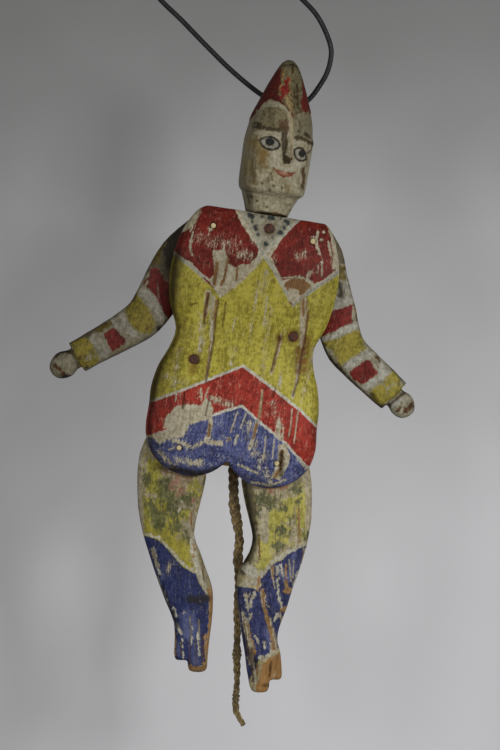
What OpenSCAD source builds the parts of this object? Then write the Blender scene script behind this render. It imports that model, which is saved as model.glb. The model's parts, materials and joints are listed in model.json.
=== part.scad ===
// Carved and painted wooden jumping jack that hangs from a black cord.
// Millimetres, +Z up, -Y is the figure's front. The origin is the middle of the
// screw eye behind the hat. Right and left are the figure's own sides, so its
// right arm is on the -X side. Heights inside the body run down from the eye.

/* [Hang] */
// Lean of the body about the eye, top towards +X
lean = 9; // [0:1:15]
// Radius of the hole in the screw eye
eye_hole_r = 2.6; // [2.2:0.1:3.4]
// Thickness of the screw eye's wire
eye_wire = 1.6; // [1.2:0.1:2.2]
// Depth of the screw eye's shank in the head
eye_shank_l = 9; // [6:0.5:12]

/* [Head] */
// Height of head and hat, from the torso's top to the tip
head_h = 87; // [75:1:100]
// Width of the head across the cheeks
head_w = 38; // [32:1:44]
// Depth of the head from face to back
head_d = 35; // [30:1:38]
// Turn of the face towards the figure's left
head_turn = 18; // [0:1:35]
// Length of the neck's tenon inside the body
tenon_l = 24; // [16:1:28]
// Width of the neck's tenon
tenon_w = 19; // [14:0.5:20]

/* [Torso] */
// Height of the torso from the shoulders to the seat
torso_h = 151; // [135:1:170]
// Width across the chest
chest_w = 94; // [84:1:104]
// Width across the waist
waist_w = 78; // [70:1:86]
// Width across the hips
hip_w = 95; // [85:1:105]
// Thickness of the carved front at the chest
chest_t = 17; // [12:0.5:22]
// Thickness of the carved front at the hips
hip_t = 18; // [12:0.5:22]
// Radius of the two rounded ends of the seat
seat_r = 26; // [22:1:28]
// Free gap between the front and the back board
slot = 17; // [15:0.5:20]
// Thickness of the back board
back_t = 6; // [4:0.5:9]
// Distance of the back board's edge inside the front's outline
back_inset = 6; // [3:0.5:9]

/* [Limbs] */
// Thickness of the limbs where they pass between the boards
limb_t = 10.4; // [8:0.2:11]
// Extra thickness of the carved forearms and legs, on the front
limb_swell = 4; // [0:0.5:6]
// Reach of the longer right arm from its peg to the finger tips, sideways
arm_reach = 77; // [65:1:85]
// Width of the forearm
arm_w = 20; // [17:0.5:23]
// Length of the leg from its peg to the toes
leg_l = 126; // [112:1:140]
// Width of the thigh
thigh_w = 39; // [34:1:43]
// Sideways distance of the shoulder pegs from the middle
shoulder_x = 28; // [26:0.5:31]
// Depth of the shoulder pegs below the torso's top
shoulder_drop = 11; // [9:0.5:14]
// Distance of the hip pegs from the sides of the hips
hip_inset = 20; // [17.5:0.5:21.5]
// Height of the hip pegs above the seat
hip_rise = 15; // [12:0.5:18]
// Radius of the round boss at the hips
leg_boss_r = 12; // [10:0.5:14]
// Half the width of the levers
lever_r = 4; // [3:0.2:5]
// Length of the levers on the arms
arm_lever = 13; // [12:0.5:14]
// Length of the levers on the legs
leg_lever = 18.3; // [16:0.1:19]

/* [Fastenings] */
// Radius of the wooden limb pegs
peg_r = 1.5; // [1.2:0.1:2]
// Radial clearance of a limb on its peg
peg_clearance = 0.08; // [0.05:0.01:0.1]
// Radius of the iron nail heads
nail_head_r = 3.1; // [2.6:0.1:3.6]
// Height of a nail head, part of it sunk in the wood
nail_head_t = 1; // [0.8:0.1:1.4]
// Radius of the iron nail shanks
nail_r = 1.6; // [1.2:0.1:2]
// Radius of the round spacers on the belly nails
spacer_r = 5; // [4:0.5:6]

/* [Cords] */
// Diameter of the black hanging cord
hang_cord_d = 3.2; // [2:0.1:3.6]
// Diameter of the braided pull cord at its top
pull_cord_d = 5.4; // [4:0.1:5.6]
// Diameter of the pull cord at its lower end
pull_tail_d = 3; // [2:0.1:3.4]
// Diameter of the thin strings inside the body
string_d = 1.6; // [1:0.1:1.8]

/* [Hidden] */
$fn = 48;

RIGHT = -1;               // the figure's right side is at -X
LEFT = 1;

// Places across the depth. The cord runs through the eye at y = 0.
slack = 0.3;              // air between parts that move past each other
through = 60;             // longer than any hole is deep
skin_cut = 1;             // how far a cut runs past a face
proud = 0.4;              // how far nails and pegs stand out of the wood
eye_r = eye_hole_r + eye_wire / 2;
back_face = eye_hole_r + eye_wire + 0.8;
slot_back = back_face - back_t;
slot_front = slot_back - slot;
limb_front = slot_front + 0.4;
limb_back = limb_front + limb_t;
tie_knot_r = string_d;
tie_knot_t = tie_knot_r * 1.3;
string_y = limb_back + tie_knot_t + slack + string_d / 2;
pull_y = limb_back + slack + pull_cord_d / 2;

// Heights in the body, down from the eye.
neck_z = -60;             // top of the torso, where the neck stands on it
seat_z = neck_z - torso_h;
shoulder_z = neck_z - shoulder_drop;
hip_z = seat_z + hip_rise;
hip_x = hip_w / 2 - hip_inset;
seat_x = hip_w / 2 - seat_r + 0.5;
seat_centre_z = seat_z + seat_r;

// Nail places as [across, height], set down from the torso's top.
neck_nail_at = [3, neck_z - tenon_l / 3];
belly_nail_right_at = [-27, neck_z - torso_h * 0.57];
belly_nail_left_at = [25.5, neck_z - torso_h * 0.43];

// ---------------------------------------------------------------- shaping

// Smooth rows through the given rows, by a Catmull-Rom curve on every column.
function between(a, b, c, d, t) =
    0.5 * (2 * b + (c - a) * t + (2 * a - 5 * b + 4 * c - d) * t * t
           + (3 * b - a - 3 * c + d) * t * t * t);
function smooth(rows, steps) = let (last = len(rows) - 1) [
    for (i = [0:last - 1], k = [0:steps - 1])
        between(rows[max(i - 1, 0)], rows[i], rows[i + 1], rows[min(i + 2, last)], k / steps),
    rows[last]
];
function column(rows, key, value) = [for (r = rows) [r[key], r[value]]];
function flip(list) = [for (i = [len(list) - 1:-1:0]) list[i]];
function power(x, p) = sign(x) * pow(abs(x), p);

// Points of a rounded box in its own plane: width from -1 to 1, depth from -1 to 1.
function rounded(n, fullness) = [
    for (k = [0:n - 1]) let (a = (k + 0.5) * 360 / n)
        [power(cos(a), 2 / fullness), power(sin(a), 2 / fullness)]
];

// A closed solid through rings of equal length, each flat.
module skin(rings) {
    n = len(rings[0]);
    last = len(rings) - 1;
    polyhedron(
        points = [for (r = rings) each r],
        faces = concat(
            [[for (k = [0:n - 1]) k]],
            [[for (k = [n - 1:-1:0]) last * n + k]],
            [for (i = [0:last - 1], k = [0:n - 1])
                [i * n + k, (i + 1) * n + k, (i + 1) * n + (k + 1) % n, i * n + (k + 1) % n]]
        )
    );
}

// Level rings, one for each row [height, low x, high x, front y, back y].
function level_rings(rows, n, fullness) = [
    for (r = rows) [
        for (p = rounded(n, fullness))
            [(r[1] + r[2]) / 2 + p[0] * (r[2] - r[1]) / 2,
             (r[3] + r[4]) / 2 + p[1] * (r[4] - r[3]) / 2, r[0]]
    ]
];

// Rings square to a bent middle line, one for each row [x, z, half width, front y, back y].
function bent_rings(rows, n, fullness) = let (last = len(rows) - 1) [
    for (i = [0:last]) let (
        a = rows[max(i - 1, 0)], b = rows[min(i + 1, last)], r = rows[i],
        along = [b[0] - a[0], b[1] - a[1]], side = [along[1], -along[0]] / norm(along)
    ) [
        for (p = rounded(n, fullness))
            [r[0] + side[0] * r[2] * p[0], (r[3] + r[4]) / 2 + p[1] * (r[4] - r[3]) / 2,
             r[1] + side[1] * r[2] * p[0]]
    ]
];

// A tube along points, with a radius for each. Its rings keep the Y direction.
function tube_rings(points, radii, n) = let (last = len(points) - 1) [
    for (i = [0:last]) let (
        d = points[min(i + 1, last)] - points[max(i - 1, 0)],
        side = cross(d, [0, 1, 0]) / norm(cross(d, [0, 1, 0])),
        up = cross(side, d) / norm(d)
    ) [for (k = [0:n - 1]) points[i] + radii[i] * (side * cos(k * 360 / n) + up * sin(k * 360 / n))]
];
module tube(points, radii, n = 8) skin(tube_rings(points, radii, n));

// Placing on the leaning body, and the same for a single point.
module on_body() rotate([0, lean, 0]) children();
function body_point(x, y, z) =
    [x * cos(lean) + z * sin(lean), y, z * cos(lean) - x * sin(lean)];
module sided(side) scale([side, 1, 1]) children();
module along_y(y) translate([0, y, 0]) rotate([-90, 0, 0]) children();

// ---------------------------------------------------------------- torso

// Rows down the torso: [height, half width, thickness of the front, middle].
// It was carved by eye, so its middle wanders towards the figure's right.
torso_rows = let (c = chest_w / 2, w = waist_w / 2, h = hip_w / 2,
                  waist_t = min(chest_t, hip_t) - 3.5,
                  down = function (share) neck_z - torso_h * share,
                  seat = function (z) seat_x + sqrt(max(0, pow(seat_r, 2) - pow(z - seat_centre_z, 2)))) [
    [down(0), c * 0.71, chest_t * 0.55, 0],
    [down(0.02), c * 0.795, chest_t * 0.68, -0.3],
    [down(0.066), c * 0.883, chest_t * 0.82, -0.8],
    [down(0.13), c * 0.958, chest_t * 0.92, -0.9],
    [down(0.21), c, chest_t, -1],
    [down(0.3), c * 0.99, chest_t * 0.97, -1.3],
    [down(0.385), w + (c - w) * 0.62, (chest_t + waist_t) / 2, -1.1],
    [down(0.465), w, waist_t, -1],
    [down(0.54), w + (h - w) * 0.22, waist_t + 1, -1.1],
    [down(0.61), w + (h - w) * 0.72, hip_t * 0.9, -1.3],
    [down(0.69), h * 0.998, hip_t * 0.98, -1.1],
    [down(0.755), h, hip_t, -0.7],
    [seat_centre_z, seat_x + seat_r, hip_t * 0.95, -0.2],
    [seat_z + seat_r * 0.66, seat(seat_z + seat_r * 0.66), hip_t * 0.84, 0],
    [seat_z + seat_r * 0.4, seat(seat_z + seat_r * 0.4), hip_t * 0.69, 0],
    [seat_z + seat_r * 0.2, seat(seat_z + seat_r * 0.2), hip_t * 0.53, 0],
    [seat_z + seat_r * 0.06, seat(seat_z + seat_r * 0.06), hip_t * 0.36, 0],
    [seat_z, seat_x, hip_t * 0.25, 0]
];
torso_curve = smooth(torso_rows, 3);
rising_curve = flip(torso_curve);
function torso_half(z) = lookup(z, column(rising_curve, 0, 1));
function torso_thick(z) = lookup(z, column(rising_curve, 0, 2));
function torso_middle(z) = lookup(z, column(rising_curve, 0, 3));

edge_share = 0.42;        // share of the thickness that stands straight at the edge
front_fullness = 2.3;
function front_bulge(across, thick) =
    thick * (edge_share + (1 - edge_share)
             * pow(max(0, 1 - pow(abs(across), front_fullness)), 1 / front_fullness));
// The carved front's face at a place on the body.
function front_y(x, z) =
    slot_front - front_bulge((x - torso_middle(z)) / torso_half(z), torso_thick(z));

front_points = 16;
function torso_ring(row) = concat(
    [[row[3] + row[1], slot_front, row[0]], [row[3] - row[1], slot_front, row[0]]],
    [for (k = [0:front_points]) let (across = -cos(180 * k / front_points))
        [row[3] + across * row[1], slot_front - front_bulge(across, row[2]), row[0]]]
);

// The corner between the two rounded ends of the seat.
module seat_notch(y, depth)
    translate([0, y, 0]) rotate([90, 0, 0]) linear_extrude(depth) difference() {
        translate([-seat_x, seat_z - skin_cut]) square([2 * seat_x, seat_r + skin_cut]);
        for (side = [RIGHT, LEFT]) translate([side * seat_x, seat_centre_z]) circle(seat_r);
    }

module at_pegs()
    for (side = [RIGHT, LEFT], place = [[shoulder_x, shoulder_z], [hip_x, hip_z]])
        translate([side * place[0], 0, place[1]]) children();
module at_nails()
    for (place = [neck_nail_at, belly_nail_right_at, belly_nail_left_at])
        translate([place[0], 0, place[1]]) children();
module nail_seat(at) translate([at[0], 0, at[1]])
    along_y(front_y(at[0], at[1]) - proud + nail_head_t - through) cylinder(r = nail_head_r, h = through);

module torso_front() color("gold") on_body() difference() {
    skin([for (row = torso_curve) torso_ring(row)]);
    seat_notch(slot_front + skin_cut, through);
    at_pegs() along_y(slot_front - through) cylinder(r = peg_r, h = through + skin_cut);
    at_nails() along_y(slot_front - through) cylinder(r = nail_r, h = through + skin_cut);
    for (at = [neck_nail_at, belly_nail_right_at, belly_nail_left_at]) nail_seat(at);
}

// ---------------------------------------------------------------- back board

function back_outline() = let (
    kept = [for (r = torso_curve) if (r[0] < neck_z - 1.5 && r[0] > seat_z + seat_r * 0.3) r],
    edge = function (side) [for (r = kept) [r[3] + side * max(r[1] - back_inset, 5), r[0]]]
) concat(edge(1), flip(edge(-1)));

module back_board() color("burlywood") on_body() difference() {
    translate([0, back_face, 0]) rotate([90, 0, 0]) linear_extrude(back_t)
        polygon(back_outline());
    at_pegs() along_y(slot_back - skin_cut) cylinder(r = peg_r, h = back_t + 2 * skin_cut);
    at_nails() along_y(slot_back - skin_cut) cylinder(r = nail_r, h = back_t + 2 * skin_cut);
}

// ---------------------------------------------------------------- head

// Rows down the head: [height share above the neck, half width, front, back], for a
// head 87 high, 38 wide and 35 deep.
head_rows = [
    [0, 11.7, 12, 11.5], [0.07, 13.8, 13.2, 12.5], [0.125, 16, 15.5, 13.5],
    [0.15, 18, 18.6, 14.6], [0.2, 18.8, 19, 15.4], [0.34, 19.1, 18.8, 16],
    [0.46, 19.2, 18.6, 16], [0.55, 18.1, 18, 15.4], [0.62, 17, 16.8, 14.2],
    [0.69, 15, 14.8, 12], [0.76, 12.7, 12.4, 10.2], [0.83, 10.3, 10.1, 8.6],
    [0.9, 7.7, 7.6, 6.8], [0.955, 5.3, 5.2, 5], [0.985, 3.2, 3.1, 3], [1, 1.2, 1.2, 1.2]
];
// The head stands clear of the screw eye's ring behind it.
eye_share = -neck_z / head_h;
eye_gap = 1.8;
head_y = -eye_r - eye_wire / 2 - eye_gap
    - lookup(eye_share, column(head_rows, 0, 3)) * head_d / 35;

module head_block() let (wide = head_w / 38, deep = head_d / 35)
    skin(level_rings([
        for (r = smooth(head_rows, 3))
            [neck_z + head_h * r[0], -r[1] * wide, r[1] * wide, -r[2] * deep, r[3] * deep]
    ], 26, 2.3));

// A plain wedge of a nose, its tip a little towards the figure's left.
nose_top = neck_z + head_h * 0.5;
nose_tip = neck_z + head_h * 0.35;
module nose() let (
    face = -head_d * 0.5, wing = head_w * 0.09, base = head_h * 0.014, root = wing * 0.47,
    tip_x = head_w * 0.035
) polyhedron(
    points = [
        [-root, face, nose_top], [root, face, nose_top], [0, face * 1.14, nose_top - 2 * base],
        [tip_x - wing, face, nose_tip], [tip_x + wing, face, nose_tip],
        [tip_x, face * 1.34, nose_tip + base],
        [tip_x - wing * 0.8, face, nose_tip - base], [tip_x + wing * 0.8, face, nose_tip - base]
    ],
    faces = [
        [0, 1, 2], [0, 2, 5, 3], [1, 4, 5, 2], [3, 5, 6], [4, 7, 5], [5, 7, 6],
        [0, 3, 6, 7, 4, 1]
    ]
);

// The hollows under the brow that the eyes are painted in: [turn from the front,
// height share above the neck]. The figure's left eye sits a little lower.
eye_places = [[-31, 0.45], [28, 0.414]];
socket_depth = 1.1;
module eye_sockets() let (wide = head_w / 38, deep = head_d / 35, tall = head_h / 87)
    for (eye = eye_places) scale([wide, deep, tall])
        translate([0, 0, neck_z / tall + 87 * eye[1]]) rotate([0, 0, eye[0]])
            translate([0, socket_depth - 22, 0]) scale([7, 3, 4.8]) sphere(1, $fn = 20);

module head() color("antiquewhite") on_body() difference() {
    union() {
        translate([0, head_y, 0]) rotate([0, 0, head_turn]) {
            difference() {
                head_block();
                eye_sockets();
            }
            nose();
        }
        translate([-tenon_w / 2, slot_front, neck_z - tenon_l])
            cube([tenon_w, slot, tenon_l + head_h * 0.03]);
    }
    translate([neck_nail_at[0], 0, neck_nail_at[1]])
        along_y(slot_front - skin_cut) cylinder(r = nail_r, h = slot + 2 * skin_cut);
    eye_shank();
}

// ---------------------------------------------------------------- fastenings

module eye_shank() along_y(-eye_r - eye_shank_l) cylinder(r = eye_wire / 2, h = eye_shank_l);
module screw_eye() color("dimgray") on_body() {
    rotate([0, 90, 0]) rotate_extrude() translate([eye_r, 0]) circle(eye_wire / 2, $fn = 24);
    eye_shank();
}

// A turned piece along Y, from a profile of [radius, y] points.
module turned(profile) along_y(0) rotate_extrude() polygon(profile);

// An iron nail: low round head in the front, shank clenched flush at the back.
module nail(at) color("saddlebrown") on_body() translate([at[0], 0, at[1]])
    let (top = front_y(at[0], at[1]) - proud, under = top + nail_head_t) turned([
        [0, top], [nail_head_r * 0.6, top], [nail_head_r, top + nail_head_t / 2],
        [nail_head_r, under], [nail_r, under], [nail_r, back_face], [0, back_face]
    ]);

module spacer(at) color("peru") on_body() translate([at[0], 0, at[1]])
    along_y(slot_front) difference() {
        cylinder(r = spacer_r, h = slot);
        translate([0, 0, -skin_cut]) cylinder(r = nail_r, h = slot + 2 * skin_cut);
    }

// A wooden peg through both boards. Its rounded front end stands a little proud.
module peg(x, z) color("wheat") on_body() translate([x, 0, z])
    let (top = front_y(x, z) - 2 * proud) turned([
        [0, top], [peg_r * 0.55, top], [peg_r, top + proud], [peg_r, back_face], [0, back_face]
    ]);

// ---------------------------------------------------------------- limbs

// A limb's round boss on its peg, with the lever that its string pulls.
// lever_angle is the lever's rise above level, towards the middle of the body.
tie_hole_r = string_d / 2;
function lever_end(reach, angle) = [-reach * cos(angle), reach * sin(angle)];

module boss(boss_r, reach, angle)
    translate([0, limb_back, 0]) rotate([90, 0, 0]) linear_extrude(limb_t) {
        circle(boss_r);
        rotate(180 - angle) translate([0, -lever_r]) square([reach, 2 * lever_r]);
        translate(lever_end(reach, angle)) circle(lever_r);
    }

module limb_holes(reach, angle) {
    along_y(limb_back - through) cylinder(r = peg_r + peg_clearance, h = through + skin_cut);
    translate([lever_end(reach, angle)[0], 0, lever_end(reach, angle)[1]])
        along_y(limb_back - through) cylinder(r = tie_hole_r, h = through + skin_cut);
}

arm_lever_angle = 30;
leg_lever_angle = 32;

// The arms' middle lines: [outwards, height, half width, swell on the front], for arms
// 20 wide, the longer reaching 77. They were carved by eye, so the two differ.
right_arm_rows = [
    [2, 5, 8, 0], [6.3, -7, 12.4, 0], [14.8, -20.3, 13.6, 0], [20.4, -32.8, 13.2, 0],
    [24.8, -44.8, 12.5, 0], [30.2, -55.8, 11.6, 0.6], [39.5, -65, 10.6, 0.9],
    [51, -74, 9.8, 1], [64, -84.3, 9.3, 0.9]
];
right_hand_rows = [
    [61.5, -82.3, 6.2, 0.2], [66, -85.8, 6.3, 0.2], [69.3, -88.5, 7.8, 0.4],
    [72.6, -91.2, 7.3, 0.3], [75.7, -93.6, 4.8, -0.1], [77, -94.6, 1.6, -0.8]
];
left_arm_rows = [
    [2, 5, 8, 0], [6, -6, 12, 0], [11.5, -20, 12, 0], [17.5, -34, 12, 0],
    [22.5, -46.5, 11.8, 0], [27.7, -55.9, 11.4, 0.6], [36.7, -63.1, 10.9, 0.9],
    [47.5, -70.4, 10.7, 1], [58.5, -78, 10.2, 0.9]
];
left_hand_rows = [
    [55, -75.7, 6.2, 0.2], [59.3, -78.9, 6.2, 0.2], [62.5, -81.3, 7.4, 0.4],
    [65.7, -83.8, 6.9, 0.3], [68.5, -85.9, 4.5, -0.1], [69.6, -86.8, 1.6, -0.8]
];
function arm_line(rows) = let (long = arm_reach / 77, wide = arm_w / 20) [
    for (r = smooth(rows, 3))
        [r[0] * long, r[1] * long, r[2] * wide, limb_front - r[3] * limb_swell, limb_back]
];
module arm(side, rows, hand_rows) color("khaki")
    on_body() translate([side * shoulder_x, 0, shoulder_z]) sided(side) difference() {
        union() {
            skin(bent_rings(arm_line(rows), 16, 3.2));
            skin(bent_rings(arm_line(hand_rows), 14, 2.4));
            boss(shoulder_drop - proud, arm_lever, arm_lever_angle);
        }
        limb_holes(arm_lever, arm_lever_angle);
    }

// The legs' outlines: [height, inner x, outer x, swell on the front], for legs
// 126 long with a thigh 39 wide. They were carved by eye, so the two differ.
right_leg_rows = [
    [14.5, -6.5, 10.5, 0], [10, -11, 16.5, 0], [-2.5, -15, 22.2, 0], [-17, -15.1, 23.9, 0],
    [-33, -11.5, 23.4, 0.8], [-47.7, -8.4, 20.6, 1], [-58, -11.6, 17.7, 1], [-68.6, -15.5, 14.4, 1],
    [-77, -18.2, 11.4, 0.9], [-86, -19.1, 8, 0.8], [-98, -18.3, 3.3, 0.5], [-108, -16.7, 2.9, 0.3],
    [-115, -16.1, 3.2, 0.1], [-118.2, -15.5, 2.6, -0.1], [-119, -14.2, 1.2, -0.4]
];
right_toe_rows = [
    [-110, -15.9, -4.5, 0.2], [-118, -15.9, -4.3, 0.1], [-123, -15.5, -4.5, -0.1],
    [-125.1, -14.3, -5.7, -0.5], [-125.8, -11.7, -8.2, -0.9]
];
left_leg_rows = [
    [14.5, -8, 9, 0], [10, -13.5, 14.5, 0], [-4, -20, 19, 0], [-18, -18.9, 20.2, 0],
    [-31, -15.9, 19.6, 0.8], [-41.5, -13.8, 18, 1], [-50, -15.8, 16, 1], [-60, -21.4, 12.9, 1],
    [-68, -22.6, 10, 1], [-80, -21.8, 6.2, 0.9], [-92, -20.4, 1.6, 0.6], [-99.5, -19.3, 0.6, 0.4],
    [-106, -18.2, 2.4, 0.3], [-117, -16.8, 3.2, 0.1], [-120.4, -16, 2.8, -0.1], [-121.4, -15, 1.2, -0.4]
];
left_toe_rows = [
    [-112, -16.8, -4.2, 0.2], [-121, -16.2, -3.8, 0.1], [-126, -15, -4.2, -0.1],
    [-128, -13.4, -5.6, -0.5], [-128.5, -11.4, -8, -0.9]
];
function leg_line(rows) = let (long = leg_l / 126, wide = thigh_w / 39) [
    for (r = flip(smooth(rows, 2)))
        [r[0] * long, r[1] * wide, r[2] * wide,
         limb_front - r[3] * limb_swell, limb_back + min(0, r[3]) * limb_swell]
];
function hip_point(side) = body_point(side * hip_x, 0, hip_z);

// Knife cuts between the right foot's toes: [inner x, top, bottom]. The left foot's
// toes are worn smooth.
toe_cuts = [[-0.8, -107, -116], [-5.8, -105, -123], [-9.1, -107, -123], [-12.9, -104, -122]];
toe_cut_w = 1.2;
module toe_grooves() let (long = leg_l / 126, wide = thigh_w / 39)
    for (cut = toe_cuts)
        translate([cut[0] * wide, limb_front - 0.2 * limb_swell, cut[2] * long])
            rotate([0, 0, 45]) translate([-toe_cut_w / 2, -toe_cut_w / 2, 0])
                cube([toe_cut_w, toe_cut_w, (cut[1] - cut[2]) * long]);

module leg(side, rows, toe_rows) color("yellowgreen") translate(hip_point(side)) sided(side)
    difference() {
        union() {
            skin(level_rings(leg_line(rows), 18, 3.2));
            skin(level_rings(leg_line(toe_rows), 14, 2.8));
            boss(leg_boss_r, leg_lever, leg_lever_angle);
        }
        limb_holes(leg_lever, leg_lever_angle);
        if (side == RIGHT) toe_grooves();
    }

// ---------------------------------------------------------------- strings and cords

// A string's end through a lever's hole, with its knot on the lever's back.
module tie(reach, angle) translate([lever_end(reach, angle)[0], 0, lever_end(reach, angle)[1]]) {
    along_y(limb_front) cylinder(r = tie_hole_r, h = limb_t);
    along_y(limb_back) rotate_extrude() polygon([
        for (k = [0:8]) let (a = 90 - k * 22.5)
            [k == 0 || k == 8 ? 0 : tie_knot_r * cos(a), tie_knot_t * (1 + sin(a)) / 2]
    ]);
}
module arm_tie(side) color("tan") on_body()
    translate([side * shoulder_x, 0, shoulder_z]) sided(side) tie(arm_lever, arm_lever_angle);
module leg_tie(side) color("tan")
    translate(hip_point(side)) sided(side) tie(leg_lever, leg_lever_angle);

// Where the strings start, behind the levers' holes.
function arm_tie_point(side) = let (end = lever_end(arm_lever, arm_lever_angle))
    body_point(side * (shoulder_x + end[0]), string_y, shoulder_z + end[1]);
function leg_tie_point(side) = let (end = lever_end(leg_lever, leg_lever_angle))
    hip_point(side) + [side * end[0], string_y, end[1]];

// The strings meet the pull cord between the hips. The cord hangs straight down.
junction_r = pull_cord_d * 0.52;
junction = body_point(0, pull_y, hip_z) + [5.5, 0, 1.5];

module inner_string(from) color("tan") let (to = junction + [0, 0, junction_r * 0.6])
    tube([from, to], [string_d / 2, string_d / 2]);

module knot(at, r, squat) color("tan") translate(at) scale(r) rotate_extrude($fn = 20)
    polygon([for (a = [-90:18:90]) [abs(a) == 90 ? 0 : cos(a), sin(a) * squat]]);

// The pull cord's middle line: [x, z] from the junction, and its two knots.
pull_route = [
    [0, 0], [-2.2, -12], [-2.4, -21], [-2, -30], [-0.4, -40], [0.8, -49], [0, -58], [0.5, -68],
    [0.1, -82], [-0.2, -96], [-0.5, -108], [-0.6, -118], [-0.5, -128], [-1.2, -138], [-1, -145],
    [1.4, -150], [3.2, -153]
];
upper_knot = [-0.6, -113];
lower_knot = [-1.1, -137];
module pull_cord() color("darkkhaki") let (line = smooth(pull_route, 2), last = len(line) - 1)
    tube([for (p = line) junction + [p[0], 0, p[1]]],
         [for (i = [0:last]) (pull_cord_d + (pull_tail_d - pull_cord_d) * i / last) / 2], 10);
module pull_knots() color("darkkhaki") {
    knot(junction + [upper_knot[0], 0, upper_knot[1]], pull_tail_d * 0.92, 2);
    knot(junction + [lower_knot[0], 0, lower_knot[1]], pull_tail_d * 0.85, 2.5);
}

// The black cord: [x, z], from the knot down through the eye and up again.
hang_route = [
    [-26, 112], [-40, 113.5], [-58, 108], [-72, 98], [-79, 85], [-77, 72], [-68, 61.2],
    [-57, 50.6], [-45, 38.2], [-31, 24.2], [-19.4, 14.1], [-9.8, 7], [0, 1.2], [8, 1.6], [15, 6.2],
    [20.3, 13], [24.6, 20.4], [26.8, 28], [27, 35], [24, 44], [18.8, 53.5], [11, 62],
    [0, 72], [-9, 83], [-15, 94], [-20, 104], [-23, 110]
];
module hanging_cord() color("black") let (line = smooth(hang_route, 2))
    tube([for (p = line) [p[0], 0, p[1]]], [for (p = line) hang_cord_d / 2]);
module hanging_knot() color("black") let (from = hang_route[0], to = hang_route[len(hang_route) - 1])
    knot([(from[0] + to[0]) / 2, 0, (from[1] + to[1]) / 2], hang_cord_d, 1.35);

// ---------------------------------------------------------------- nodes

torso_front();
back_board();
head();
screw_eye();
nail(neck_nail_at);  // neck_nail
nail(belly_nail_right_at);  // belly_nail_right
nail(belly_nail_left_at);  // belly_nail_left
spacer(belly_nail_right_at);  // belly_spacer_right
spacer(belly_nail_left_at);  // belly_spacer_left
peg(-shoulder_x, shoulder_z);  // shoulder_peg_right
peg(shoulder_x, shoulder_z);  // shoulder_peg_left
peg(-hip_x, hip_z);  // hip_peg_right
peg(hip_x, hip_z);  // hip_peg_left
hanging_cord();
hanging_knot();
arm(RIGHT, right_arm_rows, right_hand_rows);  // right_arm
arm(LEFT, left_arm_rows, left_hand_rows);  // left_arm
leg(RIGHT, right_leg_rows, right_toe_rows);  // right_leg
leg(LEFT, left_leg_rows, left_toe_rows);  // left_leg
arm_tie(RIGHT);  // right_arm_tie
arm_tie(LEFT);  // left_arm_tie
leg_tie(RIGHT);  // right_leg_tie
leg_tie(LEFT);  // left_leg_tie
pull_cord();
pull_knots();
color("tan") knot(junction, junction_r, 1.2);  // junction_knot
inner_string(arm_tie_point(RIGHT));  // arm_string_right
inner_string(arm_tie_point(LEFT));  // arm_string_left
inner_string(leg_tie_point(RIGHT));  // leg_string_right
inner_string(leg_tie_point(LEFT));  // leg_string_left
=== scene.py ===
"""Looks of the carved and painted jumping jack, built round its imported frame.

Blender works in metres in the frame's own axes. Lengths in this file are millimetres in a
piece's own upright space, unless their name ends in _m or _M. The figure's right is image left.
"""

import json
import math
from functools import partial

import bpy
import numpy as np
from mathutils import Matrix, Vector, kdtree


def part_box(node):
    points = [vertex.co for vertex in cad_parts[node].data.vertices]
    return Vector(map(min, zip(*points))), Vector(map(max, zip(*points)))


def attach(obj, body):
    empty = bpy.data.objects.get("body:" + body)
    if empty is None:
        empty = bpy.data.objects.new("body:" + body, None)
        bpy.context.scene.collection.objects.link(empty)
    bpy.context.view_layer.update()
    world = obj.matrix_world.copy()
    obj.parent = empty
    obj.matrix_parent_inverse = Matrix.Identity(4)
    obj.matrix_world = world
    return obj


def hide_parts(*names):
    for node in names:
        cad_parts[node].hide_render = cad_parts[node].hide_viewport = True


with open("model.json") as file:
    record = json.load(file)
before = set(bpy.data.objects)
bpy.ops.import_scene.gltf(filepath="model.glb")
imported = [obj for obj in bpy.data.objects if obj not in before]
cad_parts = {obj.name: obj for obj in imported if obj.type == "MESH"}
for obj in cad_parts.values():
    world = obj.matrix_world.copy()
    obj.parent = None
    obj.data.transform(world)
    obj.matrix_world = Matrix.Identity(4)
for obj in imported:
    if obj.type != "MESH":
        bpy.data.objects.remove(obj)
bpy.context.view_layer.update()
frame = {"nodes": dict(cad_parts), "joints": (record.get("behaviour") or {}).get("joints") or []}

MM = 0.001
scene = bpy.context.scene

# ------------------------------------------------------------------ places in the frame


def corners(node):
    """Lowest and highest corner of a CAD node, in millimetres."""
    low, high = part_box(node)
    return np.array(low) / MM, np.array(high) / MM


def pivot(joint_name):
    """Where a hinge turns, in millimetres."""
    joint = next(j for j in frame["joints"] if j["name"] == joint_name)
    return np.array(joint["pos_m"]) / MM


right_shoulder = pivot("right_arm_swing")
left_shoulder = pivot("left_arm_swing")
shoulder_line = left_shoulder - right_shoulder
LEAN = math.atan2(-shoulder_line[2], shoulder_line[0])
HEAD_TURN = math.radians(18)
board_face = corners("torso_front")[1][1]


class Space:
    """A piece's own space: x across, y backwards, z up along its grain."""

    def __init__(self, origin, turns=(), side=1):
        axes = Matrix.Identity(3)
        for angle, axis in turns:
            axes = axes @ Matrix.Rotation(angle, 3, axis)
        self.origin = np.array(origin, float)
        self.axes = np.array(axes)
        self.side = np.array([side, 1.0, 1.0])

    def own(self, places):
        return (places - self.origin) @ self.axes * self.side

    def own_direction(self, directions):
        return directions @ self.axes * self.side

    def out(self, places):
        return (places * self.side) @ self.axes.T + self.origin


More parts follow.
